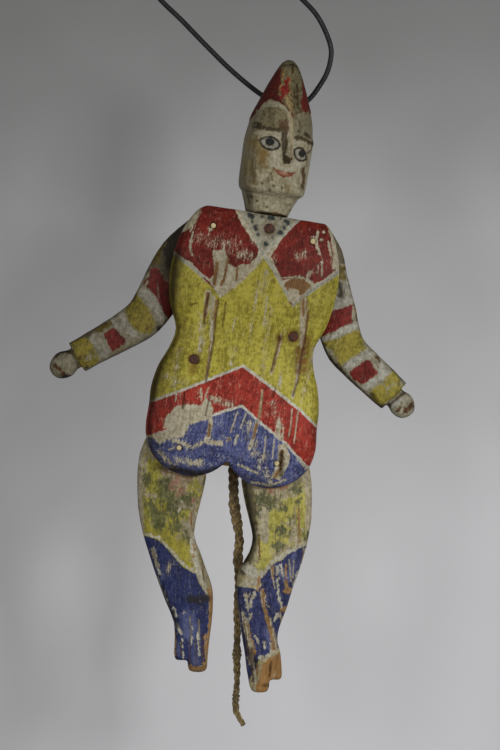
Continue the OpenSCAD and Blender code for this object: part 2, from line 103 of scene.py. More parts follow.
BODY = Space((0, 0, 0), [(LEAN, "Y")])
HEAD = Space((0, board_face, 0), [(LEAN, "Y"), (HEAD_TURN, "Z")])
RIGHT_ARM = Space(right_shoulder * (1, 0, 1), [(LEAN, "Y")], side=-1)
LEFT_ARM = Space(left_shoulder * (1, 0, 1), [(LEAN, "Y")])
RIGHT_LEG = Space(pivot("right_leg_swing") * (1, 0, 1))
LEFT_LEG = Space(pivot("left_leg_swing") * (1, 0, 1))

# ------------------------------------------------------------------ camera

VIEW_HEIGHT = 418          # of the picture, at the figure's face
VIEW_MIDDLE = (-18.4, -148.8)
FACE_DEPTH = 22            # from the eye's middle to the figure's face
CAMERA_GAP = 3000          # from the lens to the figure's face
SENSOR = 36


def new_object(name, data):
    obj = bpy.data.objects.new(name, data)
    scene.collection.objects.link(obj)
    return obj


camera = new_object("camera", bpy.data.cameras.new("camera"))
camera.data.sensor_width = SENSOR
camera.data.lens = SENSOR * CAMERA_GAP / VIEW_HEIGHT
camera.location = Vector((VIEW_MIDDLE[0], -FACE_DEPTH - CAMERA_GAP, VIEW_MIDDLE[1])) * MM
camera.rotation_euler = (math.radians(90), 0, 0)
scene.camera = camera

# ------------------------------------------------------------------ meshes

GRAIN_SQUEEZE = (1, 1, 0.45)       # makes a knife's hollows longer along the grain
FIELD_LIMIT = 8
ABSENT = -FIELD_LIMIT              # a field's value where its paint isn't


def read(items, key):
    values = np.empty(len(items) * 3)
    items.foreach_get(key, values)
    return values.reshape(-1, 3)


def keep_places(obj, places):
    """Keeps each vertex's place in its piece's own space, for the materials."""
    layer = obj.data.attributes.new("place", "FLOAT_VECTOR", "POINT")
    layer.data.foreach_set("vector", places.ravel())


def stood_in(obj, node, body, material):
    """Makes an object ride a body in place of a CAD node."""
    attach(obj, body)
    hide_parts(node)
    obj.data.materials.append(material)


def even_skin(name, node, voxel, rounding):
    """An even fine mesh of a CAD node's solid, with its edges rounded by smoothing."""
    obj = new_object(name, frame["nodes"][node].data.copy())
    obj.data.materials.clear()
    weld = obj.modifiers.new("weld", "WELD")
    weld.merge_threshold = 1e-6
    remesh = obj.modifiers.new("even", "REMESH")
    remesh.mode = "VOXEL"
    remesh.voxel_size = voxel * MM
    smooth = obj.modifiers.new("round", "SMOOTH")
    smooth.factor = 0.5
    smooth.iterations = rounding
    ready = obj.evaluated_get(bpy.context.evaluated_depsgraph_get())
    fine = bpy.data.meshes.new_from_object(ready)
    obj.modifiers.clear()
    obj.data = fine
    fine.shade_smooth()
    return obj


def knife_marks(own, spacing, depth, seed):
    """Shallow hollows left by a knife: how far each place is cut."""
    squeezed = own * GRAIN_SQUEEZE
    low = squeezed.min(0) - spacing
    counts = np.ceil((squeezed.max(0) + spacing - low) / spacing).astype(int)
    cells = np.stack(np.meshgrid(*[np.arange(n) for n in counts], indexing="ij"), -1)
    cells = cells.reshape(-1, 3)
    cuts = low + (cells + np.random.default_rng(seed).random(cells.shape)) * spacing
    tree = kdtree.KDTree(len(cuts))
    for index, cut in enumerate(cuts):
        tree.insert(cut, index)
    tree.balance()
    near = np.array([tree.find(place)[2] for place in squeezed])
    return -depth * np.clip(1 - (near / (0.85 * spacing)) ** 2, 0, 1)


def whittled(spacing, depth, seed):
    """A relief of knife marks alone."""
    return lambda own, facing: knife_marks(own, spacing, depth, seed)


def own_and_facing(obj, space):
    own = space.own(read(obj.data.vertices, "co") / MM)
    facing = space.own_direction(read(obj.data.vertex_normals, "vector"))
    return own, facing


def carved(name, node, body, space, voxel, rounding, relief, material, fields=None):
    """Stands a finely carved piece in for a CAD node.

    relief(own, facing) says how far its skin moves out. fields(own, facing) gives the numbers,
    one for every vertex or one for all, that its material reads.
    """
    obj = even_skin(name, node, voxel, rounding)
    own, facing = own_and_facing(obj, space)
    own += facing * relief(own, facing)[:, None]
    obj.data.vertices.foreach_set("co", (space.out(own) * MM).ravel())
    obj.data.update()
    keep_places(obj, own)
    for field, values in (fields(*own_and_facing(obj, space)) if fields else {}).items():
        layer = obj.data.attributes.new(field, "FLOAT", "POINT")
        values = np.broadcast_to(values, len(own))
        layer.data.foreach_set("value", np.clip(values, -FIELD_LIMIT, FIELD_LIMIT).astype(float))
    stood_in(obj, node, body, material)


# ------------------------------------------------------------------ drawing on a surface

# An outline or a line is a list of (across, height). A brush stroke is (half its width,
# *line), and a soft mark is (radius, strength, *line), where one place alone makes a dot.


def gap(at, line):
    """Distance of each place from a line, or from a dot if the line has one point."""
    line = np.array(line, float)
    best = np.linalg.norm(at - line[0], axis=1)
    for start, end in zip(line[:-1], line[1:]):
        along = end - start
        share = np.clip((at - start) @ along / (along @ along), 0, 1)
        best = np.minimum(best, np.linalg.norm(at - start - share[:, None] * along, axis=1))
    return best


def within(at, outline):
    """Distance into a closed outline: positive inside it, negative outside."""
    outline = np.array(outline, float)
    closed = np.vstack([outline, outline[:1]])
    inside = np.zeros(len(at), bool)
    for start, end in zip(closed[:-1], closed[1:]):
        crosses = (start[1] > at[:, 1]) != (end[1] > at[:, 1])
        rise = end[1] - start[1] if end[1] != start[1] else 1e-9
        edge = start[0] + (at[:, 1] - start[1]) * (end[0] - start[0]) / rise
        inside ^= crosses & (at[:, 0] < edge)
    return np.where(inside, 1, -1) * gap(at, closed)


def any_of(fields):
    """The strongest of several fields, or none at all."""
    return np.max(fields, axis=0) if fields else ABSENT


def strokes(at, half_width, lines):
    """Distance into the nearest of several lines drawn with one brush."""
    return any_of([half_width - gap(at, line) for line in lines])


def drawn(at, brush_strokes, outlines=()):
    """Distance into the nearest of several brush strokes and outlined patches."""
    return any_of([*[half_width - gap(at, line) for half_width, *line in brush_strokes],
                   *[within(at, outline) for outline in outlines]])


def marks(at, places, base=0.0):
    """The strongest of several soft marks over a base."""
    field = np.full(len(at), float(base))
    for radius, strength, *line in places:
        share = np.clip(1 - gap(at, line) / radius, 0, 1)
        field = np.maximum(field, base + (strength - base) * share * share * (3 - 2 * share))
    return field


def raised(depth, width):
    """1 well inside a field, 0 outside it, rising over a width."""
    return np.clip(depth / width, 0, 1)


def almond(at, centre, half_width, half_height, tilt_degrees):
    """Distance into an eye's pointed oval."""
    tilt = math.radians(tilt_degrees)
    x = (at[:, 0] - centre[0]) * math.cos(tilt) + (at[:, 1] - centre[1]) * math.sin(tilt)
    z = (at[:, 1] - centre[1]) * math.cos(tilt) - (at[:, 0] - centre[0]) * math.sin(tilt)
    bend = (half_width ** 2 + half_height ** 2) / (2 * half_height)
    return bend - np.hypot(x, np.abs(z) + bend - half_height)


def turned_back(facing):
    """1 on a piece's back."""
    return np.clip(facing[:, 1] * 3 - 1, 0, 1)


def turned_aside(facing, reach):
    """1 on a piece's sides, down to 0 where its skin turns to the front or the back."""
    return np.clip(1 - np.abs(facing[:, 1]) * reach, 0, 1)


# ------------------------------------------------------------------ materials


def shown(colour):
    """A shader socket's colour from (red, green, blue), 0 to 255, as a screen shows it."""
    if isinstance(colour, bpy.types.NodeSocket):
        return colour
    shares = [value / 255 for value in colour]
    return (*[s / 12.92 if s <= 0.04045 else ((s + 0.055) / 1.055) ** 2.4 for s in shares], 1.0)


class Shader:
    """Builds a material's nodes. Colours are sockets or (red, green, blue), 0 to 255."""

    def __init__(self, name, seed=0.0):
        self.material = bpy.data.materials.new(name)
        self.material.use_nodes = True
        self.tree = self.material.node_tree
        self.tree.nodes.clear()
        self.seed = seed

    def node(self, kind, output, inputs=None, **settings):
        """An output of a new node. Each input is linked to a socket or set to a value."""
        made = self.tree.nodes.new("ShaderNode" + kind)
        for name, value in settings.items():
            setattr(made, name, value)
        for key, value in (inputs or {}).items():
            if isinstance(value, bpy.types.NodeSocket):
                self.tree.links.new(value, made.inputs[key])
            else:
                made.inputs[key].default_value = value
        return made.outputs[output] if output is not None else None

    def field(self, name):
        return self.node("Attribute", "Fac", attribute_name=name)

    def place(self, stretch=(1, 1, 1)):
        """Millimetres in the piece's own space, squeezed by the given shares."""
        return self.moved(self.node("Attribute", "Vector", attribute_name="place"), stretch)

    def moved(self, vector, stretch):
        """A squeezed place, moved so that no two materials share their noise."""
        start = (self.seed, self.seed * 0.7, self.seed * 1.3)
        return self.node(
            "VectorMath", "Vector", {0: vector, 1: stretch, 2: start}, operation="MULTIPLY_ADD")

    def noise(self, vector, scale, detail=3.0, roughness=0.55):
        return self.node("TexNoise", "Fac", {
            "Vector": vector, "Scale": scale, "Detail": detail, "Roughness": roughness})

    def math(self, operation, first, second=0.0, third=0.0):
        return self.node("Math", "Value", {0: first, 1: second, 2: third}, operation=operation)

    def add(self, *values):
        total = values[0]
        for value in values[1:]:
            total = self.math("ADD", total, value)
        return total

    def times(self, first, second):
        return self.math("MULTIPLY", first, second)

    def swing(self, noise, reach):
        """Noise about its middle, from -reach to reach."""
        return self.math("MULTIPLY_ADD", noise, 2 * reach, -reach)

    def step(self, value, low, high):
        """Rises smoothly from 0 to 1 between two values."""
        return self.node("MapRange", "Result", {
            "Value": value, "From Min": low, "From Max": high}, interpolation_type="SMOOTHSTEP")

    def mix(self, share, first, second, blend="MIX"):
        return self.node(
            "Mix", 2, {0: share, 6: shown(first), 7: shown(second)},
            data_type="RGBA", blend_type=blend)

    def show(self, surface):
        self.node("OutputMaterial", None, {"Surface": surface})
        return self.material

    def finish(self, colour, roughness, height=None, relief=1.0, metal=0.0, sheen=0.0, shine=0.3):
        """height is in millimetres and shows as bumps."""
        inputs = {
            "Base Color": shown(colour), "Roughness": roughness, "Metallic": metal,
            "Specular IOR Level": shine, "Sheen Weight": sheen}
        if height is not None:
            inputs["Normal"] = self.node(
                "Bump", "Normal", {"Strength": relief, "Distance": MM, "Height": height})
        return self.show(self.node("BsdfPrincipled", "BSDF", inputs))


def wood_tones(shader, light, dark):
    """Colour and height of bare wood, from long fibres and broad shade."""
    fibre = shader.noise(shader.place((1, 1, 0.05)), 1.3, 4.0, 0.65)
    broad = shader.noise(shader.place((1, 1, 0.2)), 0.12, 2.0)
    share = shader.step(shader.add(shader.times(fibre, 0.7), shader.times(broad, 0.5)), 0.42, 0.76)
    return shader.mix(share, dark, light), fibre


WOOD = ((140, 106, 66), (92, 66, 40))
STAIN = (158, 98, 44)
# Tint of soiling and of painted shade in creases and where parts meet.
GRIME_AND_SHADE = (104, 92, 66)
SPECKS = (128, 104, 76)
# Tint of broad painted shade.
PAINTED_SHADE_TINT = (124, 112, 84)
CRACK = (88, 60, 36)


def painted(name, ground, coats, seed, wood=WOOD):
    """Worn paint in coats over a pale ground over wood.

    A coat is the field that says where it is, its light and its dark tone, how many
    millimetres its edge wanders, the size of that wandering and how soft the edge is. The
    mesh's other fields are wear (paint lost to the ground), bare (lost to the wood), scratch
    and crack (distance into thin lines), stain (rust), a darkening that is partly soiling and
    partly painted shade in creases and where parts meet, and a broad painted shade.
    """
    shader = Shader(name, seed)
    place = shader.place
    fibre = shader.noise(place((1, 1, 0.12)), 0.9, 4.0, 0.6)
    fine = shader.noise(place((1, 1, 0.4)), 1.7, 3.0, 0.65)
    cluster = shader.noise(place((1, 1, 0.6)), 0.3, 2.0)
    broad = shader.noise(place((1, 1, 0.5)), 0.11, 3.0)
    mottle = shader.noise(place(), 0.45, 3.0)
    wear = shader.add(
        shader.field("wear"), shader.swing(fibre, 0.75), shader.swing(fine, 0.8),
        shader.swing(cluster, 0.35))
    scratch = shader.add(shader.field("scratch"), shader.swing(fine, 0.8))
    lost = shader.math(
        "MAXIMUM", shader.step(wear, 0.4, 0.6),
        shader.times(shader.step(scratch, -0.25, 0.25), 0.85))
    thin = shader.times(shader.step(wear, 0.12, 0.5), 0.3)
    kept = shader.math("SUBTRACT", 1.0, shader.math("MAXIMUM", lost, thin))
    ground_light, ground_dark = ground
    under = shader.add(shader.times(mottle, 0.6), shader.times(fibre, 0.4))
    colour = shader.mix(shader.step(under, 0.34, 0.66), ground_dark, ground_light)
    tone = shader.step(
        shader.add(shader.times(broad, 0.45), shader.times(mottle, 0.55),
                   shader.times(fibre, 0.35), shader.times(fine, 0.55)), 0.78, 1.1)
    coat_height = 0.0
    for field, light, dark, ragged, size, soft in coats:
        wander = shader.noise(place((1, 1, 0.6)), size, 4.0, 0.6)
        edge = shader.add(shader.field(field), shader.swing(wander, ragged))
        share = shader.times(shader.step(edge, -soft, soft), kept)
        colour = shader.mix(share, colour, shader.mix(tone, dark, light))
        coat_height = shader.math("MAXIMUM", coat_height, share)
    wood_colour, grain = wood_tones(shader, *wood)
    bare = shader.step(
        shader.add(shader.field("bare"), shader.swing(fibre, 0.7), shader.swing(fine, 0.6)),
        0.36, 0.64)
    colour = shader.mix(bare, colour, wood_colour)
    # Soiling together with painted shade in creases and where parts meet.
    darkening = shader.add(shader.field("grime_and_shade"), shader.swing(broad, 0.5), shader.swing(fine, 0.3))
    speck = shader.noise(place((1, 1, 0.7)), 2.6, 2.0, 0.7)
    # Tints laid over the paint: rust stain, soiling with painted shade, specks, broad painted shade.
    for share, tint in [
            (shader.times(shader.field("stain"), shader.step(mottle, 0.25, 0.55)), STAIN),
            (shader.step(darkening, 0.2, 1.0), GRIME_AND_SHADE),
            (shader.times(shader.step(speck, 0.56, 0.7), 0.45), SPECKS),
            (shader.field("painted_shade"), PAINTED_SHADE_TINT)]:
        colour = shader.mix(share, colour, tint, "MULTIPLY")
    crack = shader.step(shader.add(shader.field("crack"), shader.swing(fine, 0.7)), -0.2, 0.2)
    colour = shader.mix(shader.times(crack, 0.65), colour, CRACK)
    height = shader.add(
        shader.times(coat_height, 0.09), shader.times(fibre, 0.16), shader.times(fine, 0.05),
        shader.times(shader.times(bare, grain), 0.25), shader.times(bare, -0.12),
        shader.times(crack, -0.45))
    roughness = shader.add(0.55, shader.times(bare, 0.2), shader.swing(mottle, 0.15))
    return shader.finish(colour, roughness, height, relief=0.8, shine=0.14)


# ------------------------------------------------------------------ torso

RIGHT_POINT = (-17.4, -107.3)
CROSS = (1.7, -82.4)
LEFT_POINT = (22.6, -107.7)
CHEST_RIGHT = [
    (-36, -57), (-19.5, -57), (-13.8, -66.2), (-8.2, -72.7), (-3.6, -77), (-0.9, -80), (-1.3, -84.5),
    (-4.5, -89), (-9.6, -90), (-14, -93), (-20, -97), (-24, -98.5), (-25.7, -100.8), (-31.4, -97.2),
    (-37.1, -93), (-43.6, -91.1), (-50, -88), (-50, -82), (-44, -77), (-40.1, -74.2), (-37.6, -68.7)]
CHEST_LEFT = [
    (16.4, -57), (32, -57), (37.7, -67.5), (39.8, -73.9), (40.9, -80.6), (42.7, -84.8), (36.4, -92),
    (32.2, -93.8), (28.6, -92.2), (24, -91.8), (18.7, -93.7), (14.9, -94.9), (10.8, -89.9), (6.3, -82.8),
    (10, -74.3), (14, -66)]
YELLOW_FIELD = [
    (-60, -83), RIGHT_POINT, CROSS, LEFT_POINT, (60, -73), (60, -181), (0.5, -145.5), (-60, -180)]
COLLAR = [(-16, -52), (-14.6, -58), CROSS, (19.6, -58), (24, -52)]
BAND_TOP = [
    (-60, -180), (-48.6, -173.6), (-31.9, -164.7), (-13.9, -154), (0.5, -145.5), (20.1, -155.9),
    (35.6, -164.7), (46.5, -172.6), (60, -182)]
BAND_FOOT = [
    (60, -206), (41.9, -193.6), (30.2, -184.1), (15.9, -175.7), (3.4, -167.5), (-5.5, -171.7),
    (-18.4, -178.8), (-33, -186.2), (-46.7, -193), (-60, -199)]
BAND = BAND_TOP + BAND_FOOT
HIPS = BAND_FOOT + [(-60, -215), (60, -215)]
CHEST_LINES = [
    [(-15, -58), (-5.6, -71.7), CROSS, (9.9, -91.2), LEFT_POINT, (33.2, -96.5), (43.1, -87.5),
     (49, -82)],
    [(20, -58), (10.1, -71.4), CROSS, (-7.9, -96.3), RIGHT_POINT, (-27.9, -101.1),
     (-38.6, -94.3), (-50, -88)]]
WAIST_LINES = [BAND_TOP, BAND_FOOT]
RED_LINES = [[(-28.6, -100.6), (-22.9, -104.6), (-18.4, -108)], [(20.5, -105.2), (21.4, -107.2)]]
TAN_PATCH = [
    (15.4, -97), (19.6, -93.4), (25.8, -92.4), (30.6, -95.3), (27.4, -101), (22.9, -98.9), (18.1, -100.8)]
TAN_STREAKS = [
    [(-25, -108.5), (-24.8, -124)], [(-19.4, -112), (-19, -128), (-18.6, -156)],
    [(29.6, -104), (28.6, -114)], [(31.5, -112), (32, -128), (31.4, -150)], [(18.8, -127), (17, -146)],
    [(13.4, -158), (13.8, -173)], [(-12.6, -178), (-12.6, -187)]]
# Places where the paint is lost as a whole.
LOSSES = [
    [(-26.5, -85.1), (-21.1, -83.7), (-20.4, -81.4), (-18.5, -85), (-16, -90), (-13, -92.5), (-6.6, -91),
     (-2, -85.5), (2, -84), (2, -86), (-8, -100), (-18, -110), (-24, -104), (-23, -98), (-24.4, -91.6)],
    [(18.1, -100), (22.9, -98.7), (26.5, -101.5), (23, -106.5), (20.5, -105.2)],
    [(-38, -186.5), (-37.8, -180.8), (-34.5, -176.4), (-33, -173.5), (-26, -171.5), (-19.7, -170.6),
     (-17, -166.3), (-14, -168), (-12.1, -172.2), (-12.5, -176.8), (-23.5, -181.9), (-33, -186)],
    [(-45, -192), (-33, -186.6), (-24, -182.6), (-25, -187), (-27, -190), (-33.5, -191.5), (-38, -195.5)],
    [(27, -185.5), (30.5, -184.8), (34, -190.5), (33.5, -197), (30, -205), (26, -204), (27.6, -195.5)]]
COLLAR_DOTS = [
    (1.35, (-9, -62), (-7.6, -62.8)), (0.8, (-2, -61.8)), (1.1, (2, -61.9), (4.2, -62)),
    (1.2, (11.2, -61.9), (12.8, -63)), (0.9, (-6.6, -65.6)), (1, (-4.9, -67.8), (-4.2, -69.6)),
    (1.2, (11, -66.2)), (1.2, (8.8, -69.4), (9.8, -68.8)), (1.5, (2.5, -76.6)), (0.6, (8.6, -61.3)),
    (0.9, (-2.7, -72.2)), (0.7, (5.5, -72.6))]
TORSO_WEAR = [
    (2.6, 0.95, (-29.5, -73.2)), (1.5, 0.9, (-38.6, -76.3), (-39.1, -83.7), (-37.1, -89)),
    (2.2, 0.6, (-37, -64), (-40, -76)), (6, 0.1, (-31, -66), (-17, -66)), (7, 0.4, (-34, -79), (-14, -80)),
    (6, 0.46, (-16, -83), (-4, -85)), (4, 0.42, (-9, -66), (-4, -76)), (2, 0.5, (-12, -96), (-20, -108)),
    (5, 0.25, (-32, -90), (-28, -94)), (5, 0.5, (22, -79.5), (24.5, -78.5)), (2.4, 0.8, (27.8, -69.2)),
    (1.5, 0.95, (30, -65.4), (29.8, -71.1), (32.5, -77.4)), (1.9, 0.95, (32.6, -69.4)),
    (1.4, 0.95, (36.6, -70), (39.2, -77)), (1.7, 0.9, (33.3, -64.8)),
    (1.3, 0.8, (32.9, -83.6), (33.2, -88)), (1.5, 0.8, (34.8, -81.6), (36, -89)),
    (2.4, 0.6, (38, -66), (42, -84)), (2.6, 0.75, (29.5, -88), (28, -93)),
    (2.6, 0.5, (9.5, -86), (8.5, -82)), (1.2, 0.7, (14, -94), (24, -91.5), (31, -93)),
    (3, 0.8, (-24.8, -108), (-24.3, -120)), (2.4, 0.78, (-21.6, -111), (-20, -128), (-18.8, -134)),
    (1.3, 0.62, (-18.6, -134), (-18.6, -156)), (5, 0.42, (-27, -122), (-24, -140)),
    (3.8, 0.9, (27.5, -104), (29.5, -114)), (2.8, 0.85, (29.4, -114), (30.5, -129)),
    (1.9, 0.8, (31, -140), (31.2, -151), (30.2, -158)),
    (1.6, 0.62, (18.9, -125), (18.8, -134), (16.4, -147)), (3, 0.42, (5, -92), (5, -106)),
    (2.4, 0.4, (1.5, -98), (2, -132)), (2.4, 0.4, (-4, -128), (-6, -146)),
    (3.6, 0.46, (-36, -142), (-36, -162)), (4, 0.4, (-42, -158), (-30, -160)),
    (4, 0.34, (10, -112), (12, -150)), (2, 0.46, (22, -145), (22, -156)), (3, 0.4, (38, -130), (36, -160)),
    (4, 0.55, (-14, -166), (-3, -168)), (1.6, 0.6, (-20.5, -162), (-19.6, -168)),
    (4.2, 0.66, (24.6, -173), (27, -181)), (4, 0.42, (20, -164), (24, -172)),
    (2.6, 0.7, (-12.4, -177), (-12.5, -190), (-5, -190)),
    (2.4, 0.62, (-31, -192), (-20, -194.5), (-14, -190)), (2.8, 0.7, (-0.8, -187)),
    (2.2, 0.7, (13.4, -174), (12.6, -184), (11.2, -190)), (1.6, 0.7, (3.6, -184), (2.6, -189)),
    (1.9, 1, (19.8, -193.1)), (6, 0.28, (8, -176), (20, -200)), (3.6, 0.5, (-28, -203), (-14, -203)),
    (2.6, 0.62, (-17, -202.5), (-14.5, -201)), (1.3, 0.75, (6.5, -200), (10, -201), (17.5, -203)),
    (1.3, 0.66, (15.6, -208.6), (25.8, -208.8), (33.5, -204.5)), (3, 0.45, (-38, -200), (-28, -207)),
    (2.4, 0.5, (40, -192), (44, -196)), (3, 0.45, (22, -200), (26, -208))]
TORSO_BARE = [
    (2.2, 0.95, (-22.6, -91.5), (-22.4, -103)), (1.8, 0.9, (-17, -88.5), (-17.4, -99), (-18.6, -103)),
    (1.5, 0.85, (-11.3, -91.6), (-10.6, -99)),
    (2.6, 1, (17.5, -97.5), (20.5, -95), (26, -94.5), (29, -96)),
    (2.4, 0.9, (20, -97), (27, -98), (26, -100.5)), (2.6, 0.7, (27.6, -104), (29, -112)),
    (1.6, 0.85, (-25, -108.5), (-24.6, -121)), (0.9, 0.6, (-20.2, -112), (-19.2, -128)),
    (0.9, 0.6, (18.8, -127), (16.6, -145)), (1.5, 0.8, (-12.6, -180.7), (-12.6, -187)),
    (0.8, 0.5, (14, -157), (13.9, -173)), (1.6, 0.85, (13.2, -176), (12.4, -184)), (2, 0.75, (-0.8, -187)),
    (1.6, 0.7, (11.3, -188.8)), (2.2, 0.8, (29.4, -189), (29.8, -199), (27.6, -204)),
    (0.8, 0.4, (-29, -104), (-26, -102))]
TORSO_SCRATCHES = [
    [(13, -157), (13.6, -164.2), (13.9, -173.7)], [(31.1, -164.8), (31.9, -173.7), (31.6, -180)],
    [(34.6, -165.4), (34.9, -174.9), (35.1, -183.3)], [(-33.5, -166), (-33.5, -171)],
    [(-16.5, -160.5), (-17.6, -166)], [(1.4, -171.4), (-0.6, -183)], [(6.4, -171.5), (4.4, -180)],
    [(-8, -120), (-8.4, -127)], [(7.8, -105), (8.2, -121)], [(19, -182), (20, -196)],
    [(24, -183), (24.6, -194)], [(-33, -198), (-30, -196)], [(10, -176), (9, -182)],
    [(-36, -202), (-34, -205)]]
TORSO_CRACKS = [
    [(-24.8, -110), (-25.8, -118), (-24.8, -126)],
    [(-18.8, -111), (-19, -120), (-18, -134), (-18.6, -146), (-18.8, -158)], [(-15.5, -163), (-16, -176)],
    [(31.6, -110), (32.4, -127), (31.4, -134), (32, -147), (30.4, -158)], [(17.6, -126), (16.4, -146)],
    [(-33.9, -116.6), (-30.2, -114.9)], [(-29.6, -165), (-29.2, -174)], [(-14.6, -112), (-14.4, -126)],
    [(20, -155), (19.6, -160)], [(28, -191), (31.5, -193)]]
# Soft dark marks: soiling, and painted shade down the board's right edge.
TORSO_GRIME_AND_SHADE = [
    (9, 0.75, (-46, -92), (-44, -135), (-48, -172)), (5, 0.4, (-27, -146)), (5, 0.4, (25.5, -125)),
    (4, 0.35, (-8, -62), (2.4, -76), (12, -62)), (5, 0.8, (-30, -208), (-14, -209), (0, -202)),
    (5, 0.6, (4, -205), (30, -210)), (4, 0.5, (47, -165), (47, -180)), (3, 0.3, (44, -95), (40, -125)),
    (2.4, 0.9, (18, -127)), (3.4, 0.7, (29, -190), (31, -202)), (8, 0.3, (-40, -120), (-38, -150))]
TORSO_STAINS = [
    (6, 0.9, (-27, -146)), (3.8, 0.7, (-27, -150), (-27, -153)), (6.5, 1, (25.5, -125)),
    (5, 0.9, (33, -126), (34, -142)), (5.6, 1, (3, -68)), (4, 1, (18, -127)),
    (3, 0.9, (29.4, -131), (30.6, -144)), (4, 0.25, (4, -150), (-2, -152))]


def torso_relief(own, facing):
    at = own[:, [0, 2]]
    front = facing[:, 1] < -0.2
    raised_lines = 0.12 * raised(strokes(at, 1.0, CHEST_LINES + WAIST_LINES), 1.0)
    worn = 0.3 * marks(at, TORSO_BARE)
    cracks = 0.55 * raised(strokes(at, 0.7, TORSO_CRACKS), 0.7)
    cuts = knife_marks(own, spacing=8.5, depth=0.2, seed=11)
    return cuts + np.where(front, raised_lines - worn - cracks, 0)


def torso_shade(own, facing):
    """Painted shade that darkens the board's sides, its right half and its upper part, less on the chest.
    """
    parts = [
        0.6 * raised(-own[:, 0] - 24, 22), raised(-facing[:, 0] - 0.08, 0.55),
        0.45 * raised(facing[:, 0] - 0.3, 0.5), 0.4 * raised(own[:, 2] + 170, 80)]
    front = np.clip((1 - np.abs(facing[:, 0])) / 0.35, 0.3, 1)
    below_chest = np.clip((-own[:, 2] - 78) / 8, 0.5, 1)
    return any_of(parts) * front * below_chest


def torso_fields(own, facing):
    at = own[:, [0, 2]]
    chest = any_of([within(at, CHEST_RIGHT), within(at, CHEST_LEFT)])
    band = within(at, BAND)
    hips = within(at, HIPS)
    lost = raised(any_of([within(at, outline) for outline in LOSSES]) + 0.8, 1.6)
    side = turned_aside(facing, 2.2)
    thin = 0.1 * (hips > 0) + 0.04 * (band > 0) - 0.05 * (chest > 0)
    return {
        "yellow": within(at, YELLOW_FIELD),
        "red": chest,
        "band": band,
        "blue": hips,
        "white": strokes(at, 0.95, CHEST_LINES),
        "line_edge": strokes(at, 0.1, CHEST_LINES),
        "band_line": strokes(at, 0.75, WAIST_LINES),
        "tan": any_of([within(at, TAN_PATCH), strokes(at, 0.8, TAN_STREAKS)]),
        "red_line": strokes(at, 0.5, RED_LINES),
        "collar": within(at, COLLAR) - 0.8,
        "dots": drawn(at, COLLAR_DOTS),
        "wear": any_of([marks(at, TORSO_WEAR), lost]) + 0.2 * side + thin,
        "bare": marks(at, TORSO_BARE) + 1.5 * turned_back(facing),
        "scratch": strokes(at, 0.45, TORSO_SCRATCHES),
        "crack": strokes(at, 0.3, TORSO_CRACKS),
        "stain": marks(at, TORSO_STAINS),
        "grime_and_shade": marks(at, TORSO_GRIME_AND_SHADE) + 0.4 * side,
        "painted_shade": torso_shade(own, facing),
    }


RED = ((120, 36, 24), (74, 16, 10))
torso_paint = painted("torso_paint", ((182, 176, 154), (140, 128, 102)), [
    ("yellow", (176, 166, 66), (119, 110, 32), 0.5, 0.5, 0.25),
    ("blue", (84, 90, 132), (42, 46, 80), 0.5, 0.5, 0.25),
    ("red", *RED, 1.4, 0.6, 0.2),
    ("band", (160, 52, 38), (104, 28, 20), 0.9, 0.6, 0.2),
    ("tan", (146, 114, 76), (104, 76, 46), 1.2, 0.5, 0.4),
    ("collar", (154, 150, 132), (112, 106, 86), 1.2, 0.4, 1.2),
    ("white", (172, 170, 154), (134, 130, 112), 1.2, 0.5, 0.35),
    ("line_edge", (128, 132, 128), (108, 108, 98), 0.9, 0.5, 0.35),
    ("band_line", (192, 190, 178), (146, 140, 122), 0.9, 0.5, 0.25),
    ("red_line", *RED, 0.6, 0.6, 0.2),
    ("dots", (58, 62, 64), (42, 44, 44), 1.8, 0.6, 0.6),
], seed=3.1)
carved("torso_carving", "torso_front", "torso", BODY, voxel=0.6, rounding=14,
       relief=torso_relief, material=torso_paint, fields=torso_fields)

# ------------------------------------------------------------------ head

# Face places are (across, height) in the head's space, whose front is the face. An eye is
# its middle, half its width, half its height and its tilt in degrees.
EYES = [((-9.4, -21.1), 5.2, 3.4, -7), ((8.9, -24.4), 4.7, 3.3, -25)]
IRISES = [[(-9.7, -20.3)], [(10.1, -23.7)]]
EYE_CORNER = [(-14.6, -20.3), (-15.8, -20.4)]
# The hat's lower edge: (degrees round from the front, height).
BRIM = [
    (-180, -6), (-120, -9.5), (-95, -10), (-76, -4.5), (-66, -0.8), (-58, 1.2), (-45, 3),
    (-26, 2.2), (-12, 0), (-4, -2.5), (3, -5.8), (8, -4.8), (11, -2.8), (23, -1.2), (45, -0.4),
    (65, -1), (90, -2), (130, -4), (180, -6)]
BRIM_BAND = [(-70, 0), (-66, 2.2), (-45, 4), (-26, 2.9), (-8, 1.2), (0, 0)]
LIPS = [
    (-6.6, -33.8), (-4.4, -34.9), (-1.4, -35.3), (0.6, -35.8), (2.4, -35.4), (7.4, -34.8),
    (4.6, -37.5), (0.4, -38.9), (-3, -37.3)]
PARTING = [(-6.2, -34.5), (1, -36.4), (7, -35)]
EYEBROWS = [
    [(-16.8, -13.5), (-14.4, -13), (-10.7, -13.3), (-4.3, -12.9)],
    [(3.7, -15.5), (9.5, -15.7), (15.4, -17.2)]]
LID_FOLDS = [
    [(-17, -16.6), (-13.3, -16), (-8.3, -15.6), (-4, -15.6)],
    [(4.9, -19), (8.6, -18), (13, -18.5)]]
# The nose's side that turns from the key lamp: brown paint with painted shade.
NOSE_SIDE = [
    (-4.8, -13.5), (-0.9, -12.8), (-0.3, -20.6), (-0.5, -26.2), (2.4, -28), (2.6, -30.2),
    (-1.6, -29.8), (-2.7, -23.8), (-4.1, -18.4)]
JAW = -49.3                # its height
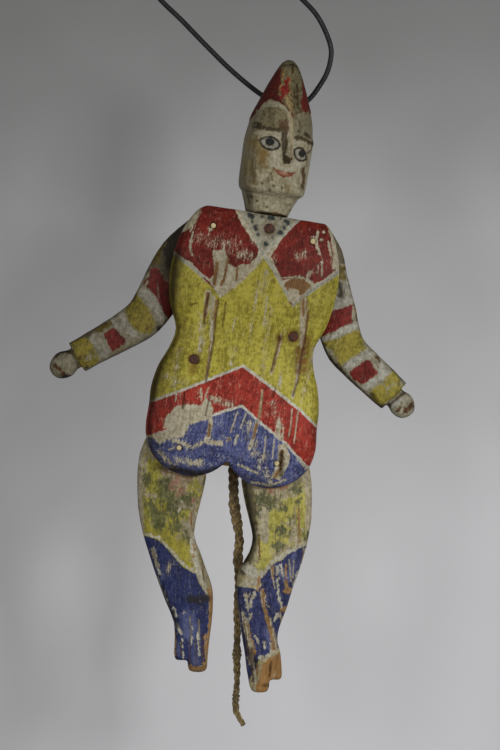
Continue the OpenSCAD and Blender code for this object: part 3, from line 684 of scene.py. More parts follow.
# Soft hills and hollows of the face, in groups that add up: the nose's wings, the cheek's
# hollow, the temple and the chin.
FACE_FORMS = [
    [(1.8, 0.5, (-2, -27.4)), (1.8, 0.5, (5.2, -27.6))],
    [(7, -0.9, (13.5, -31)), (4, -0.9, (15.8, -25))],
    [(4, 0.6, (15.8, -17.5))],
    [(6, 0.6, (1, -43.5))]]
HEAD_WEAR = [
    (3, 0.3, (-15, -16), (-12, -18)), (7, 0.3, (-4, -42), (6, -45)), (8, 0.25, (0, -52), (8, -54))]
# Soft dark marks: soiling, and painted shade under the jaw and at the neck's foot.
HEAD_GRIME_AND_SHADE = [
    (3, 0.5, (-16, -30), (-15, -44)), (2.5, 0.5, (-8, -40), (-7, -46)),
    (1.6, 0.5, (-17, -49), (5, -50), (14, -47)), (5, 0.6, (-14, -52), (-16, -60)),
    (2.2, 1, (-8, -60), (9, -60)), (4, 1, (-3, 26), (8, 26)), (2, 0.4, (2, -46), (10, -47)),
    (2.5, 0.5, (13, -20), (15, -30))]
HEAD_SCRATCHES = [[(4, -36), (5, -46)], [(-8, -30), (-7, -44)]]
# Brush strokes on the face: the coat, half the brush's width and the lines.
FACE = [
    ("lid", 0.7, *LID_FOLDS),
    ("ridge", 1.2, [(-1, -3), (0.2, -6.5), (1.2, -14.7), (2.3, -21.9), (3.5, -27)]),
    ("ridge", 0.9, [(-1.5, -31.6), (2.5, -32)]),
    ("pale", 2.2, [(-9, -27.5), (-5, -29)], [(6.5, -29.5), (9.5, -30)]),
    ("pale", 1.2, [(-3, -32), (5, -32.6)]), ("pale", 0.8, [(-12, -17), (-6, -17)]),
    ("stain_brown", 1, [(-6.5, -37), (-6, -41)]), ("stain_brown", 1.2, [(1, -42.5), (3.5, -45)]),
    ("brow", 1.1, *EYEBROWS, [(9.9, -12.8), (13.2, -14)]),
    ("brow", 1.4, [(-16.1, -11.5)]), ("brow", 1, [(5.7, -12)]),
    ("brow", 0.6, [(16.2, -15.1), (16.1, -20.8), (14.4, -22.5)]),
    # Under the nose's tip: painted shade.
    ("nose", 0.8, [(-1.2, -28.6), (3.2, -28)], [(-0.5, -30.3), (2.2, -30.2)]),
    ("rust", 1.5, [(-4.6, -9), (-4, -12)], [(-2.6, -8.6), (-2.2, -12.4)]),
    ("rust", 1.4, [(11.5, -32), (13.4, -35.4), (14.2, -42)]),
    ("stain_brown", 3, [(-16, -22), (-12.8, -28), (-12.6, -34)]),
    ("stain_brown", 1.8, [(-17, -33), (-16, -39), (-14.6, -44)]),
    ("stain_orange", 1.5, [(-11.6, -27.5), (-12, -31)]),
    # A painted highlight on the lower lip.
    ("lip_light", 0.75, [(-1.4, -36.3), (1.8, -36.6)]),
    ("specks", 0.8, [(-8.9, -10.8)], [(-10.2, -7.1)], [(-13.9, -6)], [(5.8, -7.2)], [(3.2, -4.9)]),
    ("specks", 0.9, [(-10.7, -43.6)], [(-5.9, -46.8)], [(-4.1, -44.2)], [(0.6, -44.6)], [(-7, -38)]),
    ("specks", 0.7, [(-9.8, -53.7)], [(-12.5, -51.9)], [(9, -53)], [(-4, -56)], [(12, -56)]),
    ("specks", 0.6, [(-12.8, -55), (-12.4, -58)], [(5, -6), (6.4, -9)], [(-11.6, -2.6), (-11.2, -6)]),
    ("collar", 0.7, [(-5.9, -60.2), (-0.7, -59.2), (1.5, -58.6), (7.9, -59.8)])]
# Patches on the hat: the coat and its outline in (degrees round from the front, height).
HAT = [
    ("dark_red", (-150, -9), (-88, -12), (-76, -6), (-60, -1), (-40, 2), (-24, 2), (-22, 4), (-26, 6),
        (-34, 7), (-38, 10), (-38, 14), (-44, 19), (-60, 22), (-150, 22)),
    ("dark_red", (-24, 3.4), (-12, 1.6), (-2, -1.9), (5, -4.4), (3, -6.6), (-4, -3.2), (-13, 0),
        (-26, 1.6)),
    ("bright_red", (-24, 17.5), (-11, 16.5), (-8, 9), (-11, 5.2), (-26, 4), (-31, 10)),
    ("ochre", (-46, 20), (-36, 20), (-31, 12), (-33, 6.5), (-38, 7), (-37, 12)),
    ("ochre", (-14, 16), (-8, 17), (-3, 10.3), (1, 2.4), (4, -3), (-4, -1.6), (-8, 5), (-7, 10)),
    ("cream", (-20, 6.4), (-10, 7.6), (-3, 5), (-1, 0), (-5, 0.4), (-13, 2.6)),
    ("streak", (3, 3), (8, 1.6), (16, -1.4), (11, -2.4), (3, 0.6)),
    ("streak", (4, 11), (9, 10), (9, 6.6), (4, 7)),
    ("streak", (14, 14), (19, 13), (17, 1), (12, 1)),
    ("streak", (-6, 24), (6, 22), (4, 18), (-5, 19)),
    ("right_red", (26, 5), (36, 12), (48, 17), (60, 21), (110, 21), (150, 14), (150, -9), (90, -4),
        (23, -2))]


def around(own):
    """Degrees round the head from the middle of the face, and height."""
    return np.degrees(np.arctan2(own[:, 0], -own[:, 1])), own[:, 2]


def hat_edge(own):
    """Height above the hat's wavy lower edge."""
    turn, height = around(own)
    return height - np.interp(turn, *zip(*BRIM))


def head_relief(own, facing):
    at = own[:, [0, 2]]
    depths = [almond(at, *eye) for eye in EYES]
    eyeballs = 0.55 * any_of([raised(depth, 1.6) for depth in depths])
    lid_edges = 0.25 * any_of([raised(0.55 - np.abs(depth), 0.55) for depth in depths])
    lid_folds = 0.3 * raised(strokes(at, 0.8, LID_FOLDS), 0.8)
    eyebrows = marks(at, [(3.2, 0.7, *line) for line in EYEBROWS])
    lips = 0.6 * raised(within(at, LIPS), 0.9)
    parting = 0.45 * raised(strokes(at, 0.45, [PARTING]), 0.45)
    forms = sum([marks(at, places) for places in FACE_FORMS])
    face = eyeballs - lid_edges + lid_folds + eyebrows + lips - parting + forms
    cuts = knife_marks(own, spacing=7.5, depth=0.26, seed=23) * np.where(own[:, 1] < -8, 0.35, 1)
    hat = 0.35 * raised(hat_edge(own), 0.8)
    jaw = -0.15 * raised(0.9 - np.abs(own[:, 2] - JAW), 0.9)
    return cuts + hat + jaw + face * (own[:, 1] < -6)


def head_fields(own, facing):
    at = own[:, [0, 2]]
    turn, height = around(own)
    on_hat = np.stack([turn / 3, height], 1)
    edge = hat_edge(own)
    in_front = own[:, 1] < -4
    band = edge + np.interp(turn, *zip(*BRIM_BAND))
    eyes = any_of([almond(at, *eye) for eye in EYES])
    fields = {
        "hat": edge,
        "band": np.where((turn > -70) & (turn < 0), np.minimum(-edge, band), ABSENT),
        # Painted shade on the forehead and temple below the hat.
        "forehead": np.min([-edge, height + 13.4, 58 - np.abs(turn)], axis=0),
        "temple": np.min([-edge, height + 15, turn - 12, 70 - turn], axis=0),
        # Painted shade on the head's flanks that turn from the key lamp.
        "side": np.maximum(-52 - turn, turn - 100) / 3,
        "wear": marks(at, HEAD_WEAR, -0.05),
        "bare": np.where(height < -62, 1.5, 0.0),
        "scratch": np.where(in_front, strokes(at, 0.05, HEAD_SCRATCHES), ABSENT),
        "crack": ABSENT,
        "stain": 0.5 * (np.abs(height + 60) < 1.2),
        "grime_and_shade": np.where(in_front, marks(at, HEAD_GRIME_AND_SHADE, 0.08), 0.1),
        # The hat darker towards its tip.
        "painted_shade": 0.35 * raised(height - 20, 3),
    }
    patches = [
        ("eye_white", eyes),
        ("iris", np.minimum(strokes(at, 2.3, IRISES), eyes + 0.4)),
        ("outline", any_of([0.62 - np.abs(eyes), strokes(at, 0.35, [EYE_CORNER])])),
        ("nose", within(at, NOSE_SIDE)),
        ("lips", within(at, LIPS)),
        *[(coat, strokes(at, width, lines)) for coat, width, *lines in FACE]]
    patches = [(coat, np.where(in_front, patch, ABSENT)) for coat, patch in patches]
    patches += [
        (coat, np.minimum(within(on_hat, [(t / 3, z) for t, z in outline]), edge))
        for coat, *outline in HAT]
    for coat, patch in patches:
        fields[coat] = any_of([fields.get(coat, patch), patch])
    return fields


head_paint = painted("head_paint", ((152, 145, 121), (110, 102, 78)), [
    # side: painted shade on the head's flanks that turn from the key lamp.
    ("side", (116, 110, 90), (94, 86, 66), 1.6, 0.2, 2.6),
    # forehead and temple: painted shade below the hat.
    ("forehead", (108, 100, 74), (74, 66, 44), 3.0, 0.35, 2.0),
    ("temple", (110, 104, 82), (80, 74, 54), 3.0, 0.35, 1.6),
    ("hat", (100, 94, 68), (64, 56, 36), 0.6, 0.4, 0.3),
    ("streak", (64, 48, 22), (44, 32, 14), 5.0, 0.55, 0.9),
    ("ochre", (138, 112, 68), (94, 74, 40), 6.0, 0.55, 1.6),
    ("dark_red", (84, 24, 16), (46, 14, 8), 6.0, 0.55, 1.1),
    ("right_red", (88, 26, 20), (60, 20, 14), 4.5, 0.55, 0.8),
    ("bright_red", (122, 30, 22), (78, 22, 16), 5.5, 0.55, 1.5),
    ("cream", (144, 126, 88), (112, 94, 58), 4.0, 0.55, 0.8),
    ("band", (136, 132, 110), (106, 100, 80), 1.2, 0.5, 0.4),
    ("pale", (162, 157, 138), (128, 122, 102), 3.0, 0.4, 2.0),
    ("stain_brown", (116, 102, 66), (88, 74, 42), 7.0, 0.5, 2.8),
    ("stain_orange", (116, 88, 42), (96, 74, 36), 4.0, 0.6, 1.8),
    ("lid", (148, 142, 120), (118, 112, 90), 0.8, 0.6, 0.5),
    ("ridge", (146, 134, 106), (116, 106, 82), 0.9, 0.5, 0.6),
    # nose: brown paint and painted shade on the nose's turned side and under its tip.
    ("nose", (66, 56, 36), (46, 40, 24), 0.8, 0.6, 0.4),
    ("rust", (76, 56, 34), (58, 40, 24), 3.2, 0.6, 1.0),
    ("brow", (64, 52, 32), (44, 36, 22), 1.8, 0.6, 0.6),
    ("eye_white", (142, 138, 124), (104, 101, 88), 0.5, 0.6, 0.4),
    ("iris", (40, 40, 36), (16, 17, 16), 0.6, 0.8, 0.5),
    ("outline", (52, 46, 34), (28, 25, 18), 0.7, 0.8, 0.4),
    ("lips", (128, 68, 44), (92, 50, 34), 1.2, 0.7, 0.5),
    # Painted highlight on the lower lip.
    ("lip_light", (156, 112, 90), (132, 94, 74), 0.8, 0.8, 0.5),
    ("specks", (86, 76, 52), (66, 58, 40), 0.7, 0.8, 0.4),
    ("collar", (98, 78, 40), (70, 54, 28), 0.6, 0.6, 0.4),
], seed=7.7)
carved("head_carving", "head", "torso", HEAD, voxel=0.4, rounding=8,
       relief=head_relief, material=head_paint, fields=head_fields)

# ------------------------------------------------------------------ arms

RIGHT_ARM_PAINT = {
    "areas": {
        "shade": [
            [(-10, 12), (40, 12), (40, -34), (31, -31), (24.2, -30), (18, -40), (-10, -40)],
            [(56, -70), (52, -64), (44, -58), (50, -61), (70, -78), (62, -76)]],
        "yellow": [
            [(36.6, -43.6), (32.9, -47), (29, -50.3), (26.3, -53.2), (23.4, -57.3), (23, -61.5),
             (26.8, -65), (29.4, -66), (33.6, -64), (36.8, -61.7), (39.5, -58.7), (41.4, -54.5), (40, -49)],
            [(68.3, -76.8), (64.8, -73.6), (60.4, -72.4), (56.7, -75), (53.2, -79), (51.5, -82.7),
             (52.4, -87), (56.8, -89.6), (60.6, -90.4), (63, -86.7), (66, -81.5)]],
        "red": [
            [(30.7, -29.2), (27.5, -27.6), (24.2, -30.8), (21.5, -33.8), (18.6, -36), (10, -44), (10, -54),
             (18.3, -54.4), (21.2, -50.3), (24.8, -45.5), (28.3, -41.4), (33, -39.2), (34, -37.2),
             (31.2, -33.6)],
            [(50.9, -68.5), (48, -65.7), (45.3, -64.7), (42.1, -67.6), (38.1, -70.9), (39.8, -74.6),
             (43.7, -78.6), (46.3, -76.7), (49.1, -72.7)]],
        "white": [
            [(33.2, -39.6), (28.2, -41.8), (24.1, -46.1), (20.4, -51.2), (16.9, -55.7), (19.8, -60),
             (22.6, -57), (26.8, -51.6), (30.8, -47.6), (36, -44)],
            [(42.4, -54), (44.5, -58), (41.8, -62.5), (38.6, -65.6), (35.3, -69), (31, -67), (36, -63.6),
             (40, -59.4)]],
    },
    "lines": {
        "olive": [
            (2.6, (29, -24), (29, -17), (26.5, -9), (23, -2)), (1.6, (54, -67), (50.6, -64), (47, -61.5))],
        "white": [
            (1.4, (47.3, -60), (44.6, -62.6), (42.6, -65)), (2.6, (55.5, -72), (48.6, -79.5)),
            (0.9, (75, -88.4))],
        "brown": [
            (1, (27.7, -61.9), (26.4, -61.2)), (1.1, (75.4, -90.6), (72, -92.4)),
            (1.1, (70.4, -94), (68.4, -96)), (0.9, (62, -84.3)), (0.8, (59.4, -83.4))],
        "dark": [
            (3.6, (20, -24), (22, -17), (19.4, -9), (17, -2)), (2.2, (20.7, -60.6), (12, -55)),
            (2, (76.5, -84.4), (73, -82), (69.4, -80.6)), (1.2, (58.7, -91)), (0.9, (57, -89)),
            (1.6, (67.6, -96.4)), (1.4, (40, -47.6), (56, -61.6), (68, -73.6))],
    },
    "wear": [
        (3, 0.85, (25, -67), (41, -79), (54, -90)), (1.2, 0.9, (31.4, -36), (33, -39.6), (30, -40.4)),
        (2, 0.8, (36, -72), (44, -79)), (4, 0.4, (20, -58), (32, -45)), (4, 0.5, (54, -82), (58, -84)),
        (4, 0.5, (50, -78), (55, -72))],
    "bare": [(1.4, 0.4, (30, -68), (44, -80)), (1, 0.6, (33.4, -38.8)), (0.9, 0.7, (39, -75), (43, -79))],
    # Soft dark marks: soiling, and painted shadow on the upper arm where it meets the board's edge.
    "grime_and_shade": [
        (8, 0.9, (8, -20), (10, -50)), (5, 0.9, (18, -40), (12, -56)), (4, 0.8, (38, -46), (70, -76)),
        (5, 0.8, (68, -97)), (4, 0.4, (50, -80)), (3, 0.3, (26, -40), (36, -60))],
    "cracks": [[(69.6, -80), (64.8, -84.8), (61.5, -90.4)]],
    "scratches": [[(46.4, -57), (43, -62.6)], [(53, -75), (56, -80)], [(26, -36), (24, -44)]],
    # The whole right arm painted darker, as painted shade.
    "painted_shade": 0.5,
}
LEFT_ARM_PAINT = {
    "areas": {
        "shade": [
            [(-10, 12), (40, 12), (40, -8), (14, -10), (14, -26), (-10, -26)]],
        "olive": [
            [(12, -11), (28, -9), (29, -22), (24.5, -22.4), (21, -19), (14, -17)]],
        "yellow": [
            [(33, -44), (35.3, -47.2), (37.4, -51.4), (39, -54.6), (35.8, -57.3), (31.7, -60.2),
             (28.8, -63.3), (26.4, -65.8), (23, -62), (20.1, -58.4), (12, -54), (16, -53.4), (25, -49.4),
             (29.6, -46)],
            [(54.5, -64.9), (59, -64), (64, -67.2), (66, -71.3), (60.8, -75.8), (57.5, -79.7),
             (54.4, -82.4), (51.3, -84.5), (47.4, -81.7), (44.2, -77.7), (46.5, -75.2), (50.5, -71.7)]],
        "red": [
            [(18.6, -35), (22.4, -33.4), (25.6, -31.6), (27.8, -31), (28.5, -35.7), (29.4, -40.6),
             (26.2, -43), (23.2, -45), (19.7, -47.8), (10, -53), (8, -46), (10, -38)],
            [(31.2, -68.6), (35.2, -64.6), (39.7, -60.4), (42, -60.7), (44, -63.2), (48, -66.5),
             (45.5, -69.1), (41.6, -72.6), (39, -74.4), (34.7, -72.3)]],
        "white": [
            [(32.4, -39.6), (33.6, -42.2), (29.4, -45.4), (24.8, -48.4), (20.7, -51.2), (11, -56),
             (9, -53), (15.6, -50.8), (20.2, -47.9), (25.3, -44.3), (29, -41.4)],
            [(39.4, -54.6), (43.6, -55.6), (39.8, -59.6), (35, -63.3), (31.7, -67), (28, -66.6),
             (29.9, -63.1), (34.5, -59.4)],
            [(50.9, -63.6), (54.5, -65), (49.9, -69.8), (45.3, -74), (42.1, -76.6), (39.6, -76.2),
             (42.7, -72.4), (47.7, -68)],
            [(10, -28), (18.9, -28.2), (27, -26.8), (27.8, -30.6), (22.4, -32.9), (18.8, -35.2),
             (10, -37)]],
    },
    "lines": {
        "olive": [(1.8, (38, -79), (45, -81.6), (51, -86))],
        "white": [
            (0.6, (21.2, -12.5), (22, -18), (24.8, -25.4)), (1, (21.1, -20.6), (22.6, -23.2)),
            (1.6, (48, -60.4), (49, -64)), (1.6, (58, -83), (62, -79.6))],
        "brown": [
            (0.9, (28.8, -31.6), (30.9, -35.9), (31.4, -38.8)), (1.6, (65.6, -85), (68.6, -81.4)),
            (0.9, (45, -57.4), (46.6, -60)), (1, (62.6, -84.6), (61, -85.6))],
        "dark": [
            (1.3, (16.6, -19.6), (18.8, -21), (20.4, -27)),
            (1.5, (11, -56), (21, -65), (31, -73.4), (39, -79)), (1, (50, -86), (56.4, -83.6)),
            (0.9, (46.5, -52.5), (50, -56))],
    },
    "wear": [
        (3, 0.5, (45.6, -60.6), (47.5, -63.8)), (1.6, 0.6, (30, -38), (32, -41)),
        (3, 0.7, (60, -66), (62, -70)), (1.6, 0.7, (28, -70), (39, -78)), (3, 0.3, (54, -74), (60, -70)),
        (0.7, 0.8, (28, -32), (28.6, -39)), (5, 0.15, (20, -60), (24, -52))],
    "bare": [(1.2, 0.5, (62, -70.4)), (0.8, 0.6, (29, -32.6), (30.6, -38))],
    "grime_and_shade": [
        (4, 0.8, (10, -54), (20, -63), (40, -80)), (4, 0.9, (14, -57)), (3, 0.5, (46, -54), (62, -68)),
        (2, 0.7, (57, -83), (65, -73)), (5, 0.7, (10, -6), (14, -24)), (3, 0.6, (46, -79), (52, -85)),
        (4, 0.5, (16, -56), (22, -60))],
    "cracks": [[(56.4, -84), (59.4, -79.6), (66, -74)]],
    "scratches": [[(29, -31), (30, -39)], [(36, -56), (37, -60)], [(52, -72), (55, -78)]],
    "painted_shade": 0,
}
ARM_COATS = [
    ("shade", (104, 96, 76), (76, 68, 50), 2.4, 0.4, 1.2),
    ("olive", (106, 92, 42), (70, 58, 26), 2.6, 0.5, 0.9),
    ("yellow", (146, 133, 54), (92, 84, 28), 3.0, 0.5, 0.9),
    ("red", (118, 38, 30), (74, 20, 16), 1.8, 0.6, 0.5),
    ("white", (166, 163, 151), (116, 112, 99), 2.4, 0.5, 0.8),
    ("brown", (96, 64, 34), (56, 40, 22), 3.0, 0.7, 0.7),
    ("dark", (60, 52, 38), (36, 30, 22), 3.0, 0.5, 1.3),
]


def arm_fields(own, facing, areas, lines, wear, bare, grime_and_shade, cracks, scratches, painted_shade):
    at = own[:, [0, 2]]
    back = turned_back(facing)
    side = turned_aside(facing, 1.6)
    return {
        **{coat: drawn(at, lines.get(coat, []), areas.get(coat, [])) for coat, *_ in ARM_COATS},
        "wear": marks(at, wear, -0.05) + 0.25 * side + 0.2 * back,
        "bare": marks(at, bare) + 0.3 * back,
        "scratch": strokes(at, 0.35, scratches),
        "crack": strokes(at, 0.3, cracks),
        "stain": 0,
        "grime_and_shade": marks(at, grime_and_shade, 0.2) + 0.6 * side,
        "painted_shade": painted_shade,
    }


arm_paint = painted("arm_paint", ((148, 144, 124), (108, 102, 82)), ARM_COATS, seed=12.3,
                    wood=((158, 126, 88), (112, 84, 52)))
carved("right_arm_carving", "right_arm", "right_arm", RIGHT_ARM, voxel=0.5, rounding=18,
       relief=whittled(spacing=6.5, depth=0.28, seed=31), material=arm_paint,
       fields=partial(arm_fields, **RIGHT_ARM_PAINT))
carved("left_arm_carving", "left_arm", "left_arm", LEFT_ARM, voxel=0.5, rounding=22,
       relief=whittled(spacing=6.5, depth=0.28, seed=37), material=arm_paint,
       fields=partial(arm_fields, **LEFT_ARM_PAINT))

# ------------------------------------------------------------------ legs

# How much wider and stronger than listed the blotches are, and how much finer the brush.
BLOTCH_SPREAD = 1.5
BLOTCH_BOOST = 0.6
LEG_BRUSH = 0.85
RIGHT_LEG_PAINT = {
    "yellow": [
        (5, 2.6, (-14, -10), (-14, -24)), (4, 2.2, (-18, -28), (-17.6, -44)),
        (5, 3.4, (-16, -47), (-8, -50)), (5, 3.2, (-8, -46), (-2.4, -56)),
        (4.6, 3.4, (1.5, -54), (3.6, -66)), (3.6, 2.4, (2.2, -37)), (5, 2.4, (-4, -40), (-5, -52)),
        (7, 1.2, (-12, -30), (-8, -44)), (3, 1.2, (8, -18), (9, -26))],
    "green": [
        (5, 1.6, (-18.4, -18)), (7, 2, (-8, -22), (-6, -28)), (6, 2.6, (-11, -38)), (6, 2, (-2.4, -36)),
        (5.4, 3, (4.8, -29.4)), (4.4, 3, (6, -49)), (5, 2.2, (-2, -44)), (4, 2.2, (-16, -32), (-11, -44)),
        (5, 1.6, (-6, -30)), (4, 1.4, (2, -33))],
    "pink": [
        (5, 1.4, (-6, -12), (2, -14)), (4, 1.6, (-1, -18)), (4.4, 1.4, (5, -16)), (4, 1.2, (1, -24)),
        (3.4, 1, (-4, -22)), (3, 0.8, (8, -30))],
    "pale_blue": [
        (9, 2.4, (5, -94), (6, -104)), (6, 1.2, (8, -108), (9, -120)), (3, 1, (-1, -110), (0, -116)),
        (4, -0.6, (-8, -64), (-10, -76))],
    "stocking": [
        (-30, -49), (-20.3, -49.4), (-16.3, -49.8), (-10.7, -52), (-8, -54.8), (-5.2, -58.2),
        (-0.7, -63.7), (2.6, -67.1), (6, -68.8), (9.3, -70.5), (11, -76), (13.8, -79.4), (16, -82.8),
        (16.6, -90), (16.2, -104), (15.2, -117), (14, -121.4), (6, -122), (1, -119), (-2, -130),
        (-30, -130)],
    "lines": {
        "shade": [(4, (24, -6), (16, -20)), (2, (-24, -10), (-24.4, -32))],
        "white": [
            (0.8, (-24, -48.4), (-16.4, -48.6), (-10.8, -50.6), (-5.4, -56.6), (0, -63), (5, -67.6),
            (9.4, -69.4)), (1.9, (8, -49), (7.6, -57), (9.9, -65.5), (11.4, -70)),
            (1.5, (11, -70), (13.2, -75.5), (15.4, -81)), (1.2, (-22.4, -8), (-22.3, -28), (-20.4, -46)),
            (1, (6.4, -44), (9, -37)), (1, (1, -31), (0, -35)),
            (0.75, (-14.6, -56), (-12.8, -64), (-11, -70)), (0.7, (-3.5, -89.5), (-1.6, -94)),
            (0.9, (-1.4, -99), (1.4, -104)), (0.8, (3, -92)), (0.5, (7.1, -100), (7, -110)),
            (0.6, (10.4, -103), (11, -116)), (0.6, (1.4, -107), (2, -117))],
        "tan": [
            (2, (16.6, -79.5), (18.6, -85), (18.2, -96), (17, -107), (15.6, -117)),
            (0.8, (14.6, -104), (14.6, -118)), (0.8, (-2.6, -104), (-2.8, -116)),
            (0.6, (8.2, -54), (8.2, -61)), (0.9, (7.4, -35.5), (6.2, -43)),
            (1.6, (14, -121), (14.6, -123)), (1.3, (6, -122.4), (8, -124.4))],
        "dark": [
            (2.6, (6.4, -84.6), (10, -85.2), (14.6, -84)), (0.9, (-9, -78), (-4, -92), (-1, -100)),
            (1.3, (9.6, -123.4), (12, -124)), (0.8, (-1.6, -118), (1, -119.4))],
    },
    "wear": [
        (2.6, 0.6, (-15, -57), (-12, -66)), (3, 0.5, (13, -68), (16, -76)), (4, 0.3, (0, -62), (-10, -70)),
        (3, 0.7, (-20, -26), (-14, -27)), (3, 0.7, (1, -32), (4, -34)), (3, 0.8, (8, -32), (6, -48)),
        (2.4, 0.8, (-22, -10), (-21, -46)), (8, 0.45, (-8, -12), (8, -16)),
        (2, 0.4, (-8, -80), (-6, -92))],
    "bare": [
        (1, 0.8, (6.8, -36), (6.6, -43)), (2.4, 0.9, (6, -123.4), (14, -123.6)),
        (0.6, 0.6, (8.2, -55), (8.2, -61)), (0.8, 0.6, (-2.8, -106), (-2.8, -115))],
    "scratches": [
        [(-12, -72), (-10, -80)], [(6, -94), (6.4, -106)], [(11, -96), (11, -104)],
        [(-6, -64), (-6, -70)]],
    "cracks": [
        [(0.8, -108), (0.8, -116)], [(5.8, -105), (5.9, -122)], [(9.1, -107), (9.3, -123)],
        [(12.9, -104), (12.9, -121)], [(12, -56), (13, -66), (13.6, -74)]],
    "grime_and_shade": [
        (3, 0.6, (-18, -60), (-8, -88), (-3, -104)), (5, 0.6, (0, -8), (-14, -12)),
        (3, 0.5, (6, -122), (14, -122)), (8, 0.4, (-12, -34), (4, -30))],
}
LEFT_LEG_PAINT = {
    "yellow": [
        (4.6, 3.2, (14, -20), (13, -32)), (6, 2.6, (10, -22), (7, -27)), (5, 3, (0, -29), (10, -29)),
        (6, 2.8, (-2, -32), (-1, -42)), (4, 1.4, (4, -36), (3, -42)), (4.6, 3, (-6, -46), (-6, -56)),
        (3.4, 1.6, (14, -40))],
    "green": [
        (4.6, 2.6, (11, -15)), (3.4, 2.6, (9.2, -31.8)), (4.4, 2.4, (2.4, -38)), (4, 2.4, (0.7, -46)),
        (2.6, 1.6, (12, -22)), (5.4, 2.8, (-8, -20), (-4, -22)), (3.4, 1.6, (3.5, -25)),
        (3.4, 2.2, (9, -39)), (3.4, 2, (17, -40)), (4, 1.6, (-9, -27))],
    "pink": [(3.2, 2.4, (3.5, -13)), (2.6, 1.4, (4.6, -10)), (3.4, 1.4, (-2.6, -15)), (3, 0.8, (-8, -12))],
    "pale_blue": [
        (6, 1, (2, -60), (5, -64)), (5, 0.8, (10, -52), (8, -62)), (5, 1, (-5, -92), (-4, -102))],
    "stocking": [
        (30, -44), (16.9, -46.4), (13, -46.8), (8.5, -48.5), (5.7, -51.2), (3.5, -54), (-0.4, -55.4),
        (-3.8, -57.9), (-7.1, -61.3), (-9.3, -65.2), (-8.2, -68), (-11, -70.8), (-13.8, -69.6), (-30, -68),
        (-30, -100), (-16, -122), (-11.4, -114.6), (-10.4, -109.9), (-7.1, -108.6), (-3.7, -107.7),
        (-2.1, -103.2), (0.7, -104.4), (4, -98), (30, -96)],
    "lines": {
        "shade": [
            (3.2, (-16, -8), (-14, -26), (-13, -42), (-15, -52), (-18, -60)),
            (1.6, (-13, -44), (-14, -54))],
        "white": [
            (1.2, (20, -44.6), (11.3, -47), (6.3, -49.8), (2.4, -52.4), (-1.5, -54.4),
            (-5, -58.4), (-9.6, -63)),
            (2.6, (18.4, -9), (19.6, -20), (18.6, -34)), (2.6, (-7, -28), (-6.5, -42)),
            (3.4, (-17, -58), (-13, -62)), (1.3, (-8, -62), (-12, -66.6), (-18, -67.6)),
            (0.9, (-17.4, -74), (-16, -82), (-12.7, -73)),
            (0.75, (0.6, -58), (0.2, -67), (1.2, -75), (3, -81)), (0.8, (2.4, -57), (3.5, -62.4)),
            (0.6, (-7.4, -74), (-5, -80)), (0.8, (-1, -88), (0.4, -84), (1.4, -86)),
            (0.6, (9.4, -68), (11.6, -61)), (0.8, (-11.6, -97), (-10, -101)),
            (0.8, (-7, -100), (-6.6, -103)), (0.8, (-3, -101), (-3.2, -105)),
            (0.7, (-16, -108), (-11.4, -122)), (0.9, (-9.6, -108.6), (-3.4, -107)),
            (0.9, (-14, -84), (-17, -90)), (0.8, (14, -57), (11.6, -64)), (0.8, (16, -48), (15, -53))],
        "tan": [
            (1.3, (-8.2, -71), (-7.4, -79), (-5.2, -87)), (1.7, (-5.2, -87), (-3, -94.3), (-1.4, -103)),
            (1.2, (5.2, -66), (6, -70)), (1.8, (5.4, -71.6), (9.4, -70.8)), (1.6, (3.5, -82), (6, -81)),
            (0.7, (12.4, -26), (12.4, -44)), (1.4, (-17, -89), (-15, -98), (-12.6, -106)),
            (0.8, (-2.6, -57), (-2, -64)), (1, (15.6, -50), (14.6, -57)), (0.7, (5, -56), (5.2, -64)),
            (0.8, (-9.8, -64), (-10.4, -71)), (0.9, (-11.4, -112), (-10.6, -118))],
        "dark": [
            (1.1, (-17.4, -92), (-16, -104), (-12.7, -121)), (0.5, (-3.4, -110), (-4.2, -120)),
            (1.6, (-12, -110), (-12, -113.6))],
    },
    "wear": [
        (4, 0.7, (-6.5, -26), (-6.6, -42)), (5, 0.5, (8, -34), (12, -44)), (5, 0.5, (0, -16), (8, -18)),
        (4, 0.8, (18, -10), (18, -36)), (4, 0.3, (-1, -58), (3, -64)), (2.6, 0.5, (-4, -86), (0, -104)),
        (2, 0.6, (2, -84), (3.6, -92)), (3.4, 0.6, (-19, -84), (-14, -104)), (4, 0.6, (-16, -74))],
    "bare": [
        (6.4, 1.3, (-5, -114), (2, -110)), (6.4, 1.3, (-8, -126), (-5, -116)),
        (5.4, 1.3, (4, -108), (2, -120)), (0.7, 0.5, (12.4, -26), (12.4, -42)),
        (1, 0.7, (-9.8, -40), (-9.6, -52)), (1.4, 0.8, (4, -82))],
    "scratches": [
        [(-9, -72), (-7.6, -80)], [(-3, -60), (-1, -70)], [(9.6, -54), (9, -64)],
        [(-13.6, -106), (-11.6, -122)], [(-15.6, -100), (-14, -112)], [(10, -24), (10.6, -44)],
        [(7, -54), (8, -66)]],
    "cracks": [[(-15.2, -104), (-12.8, -124)], [(-17.4, -96), (-15.6, -112)], [(-10, -40), (-9.6, -54)]],
    "grime_and_shade": [
        (4, 0.8, (-19, -10), (-15, -26), (-13, -42), (-18, -56)), (4, 0.5, (-17, -48), (-20, -66)),
        (4, 0.6, (-14, -104), (-10, -124)), (2, 0.6, (-3, -111), (-4, -119)),
        (2, 0.5, (4, -104), (6, -118)), (3, 0.7, (-8, -124), (0, -124))],
}


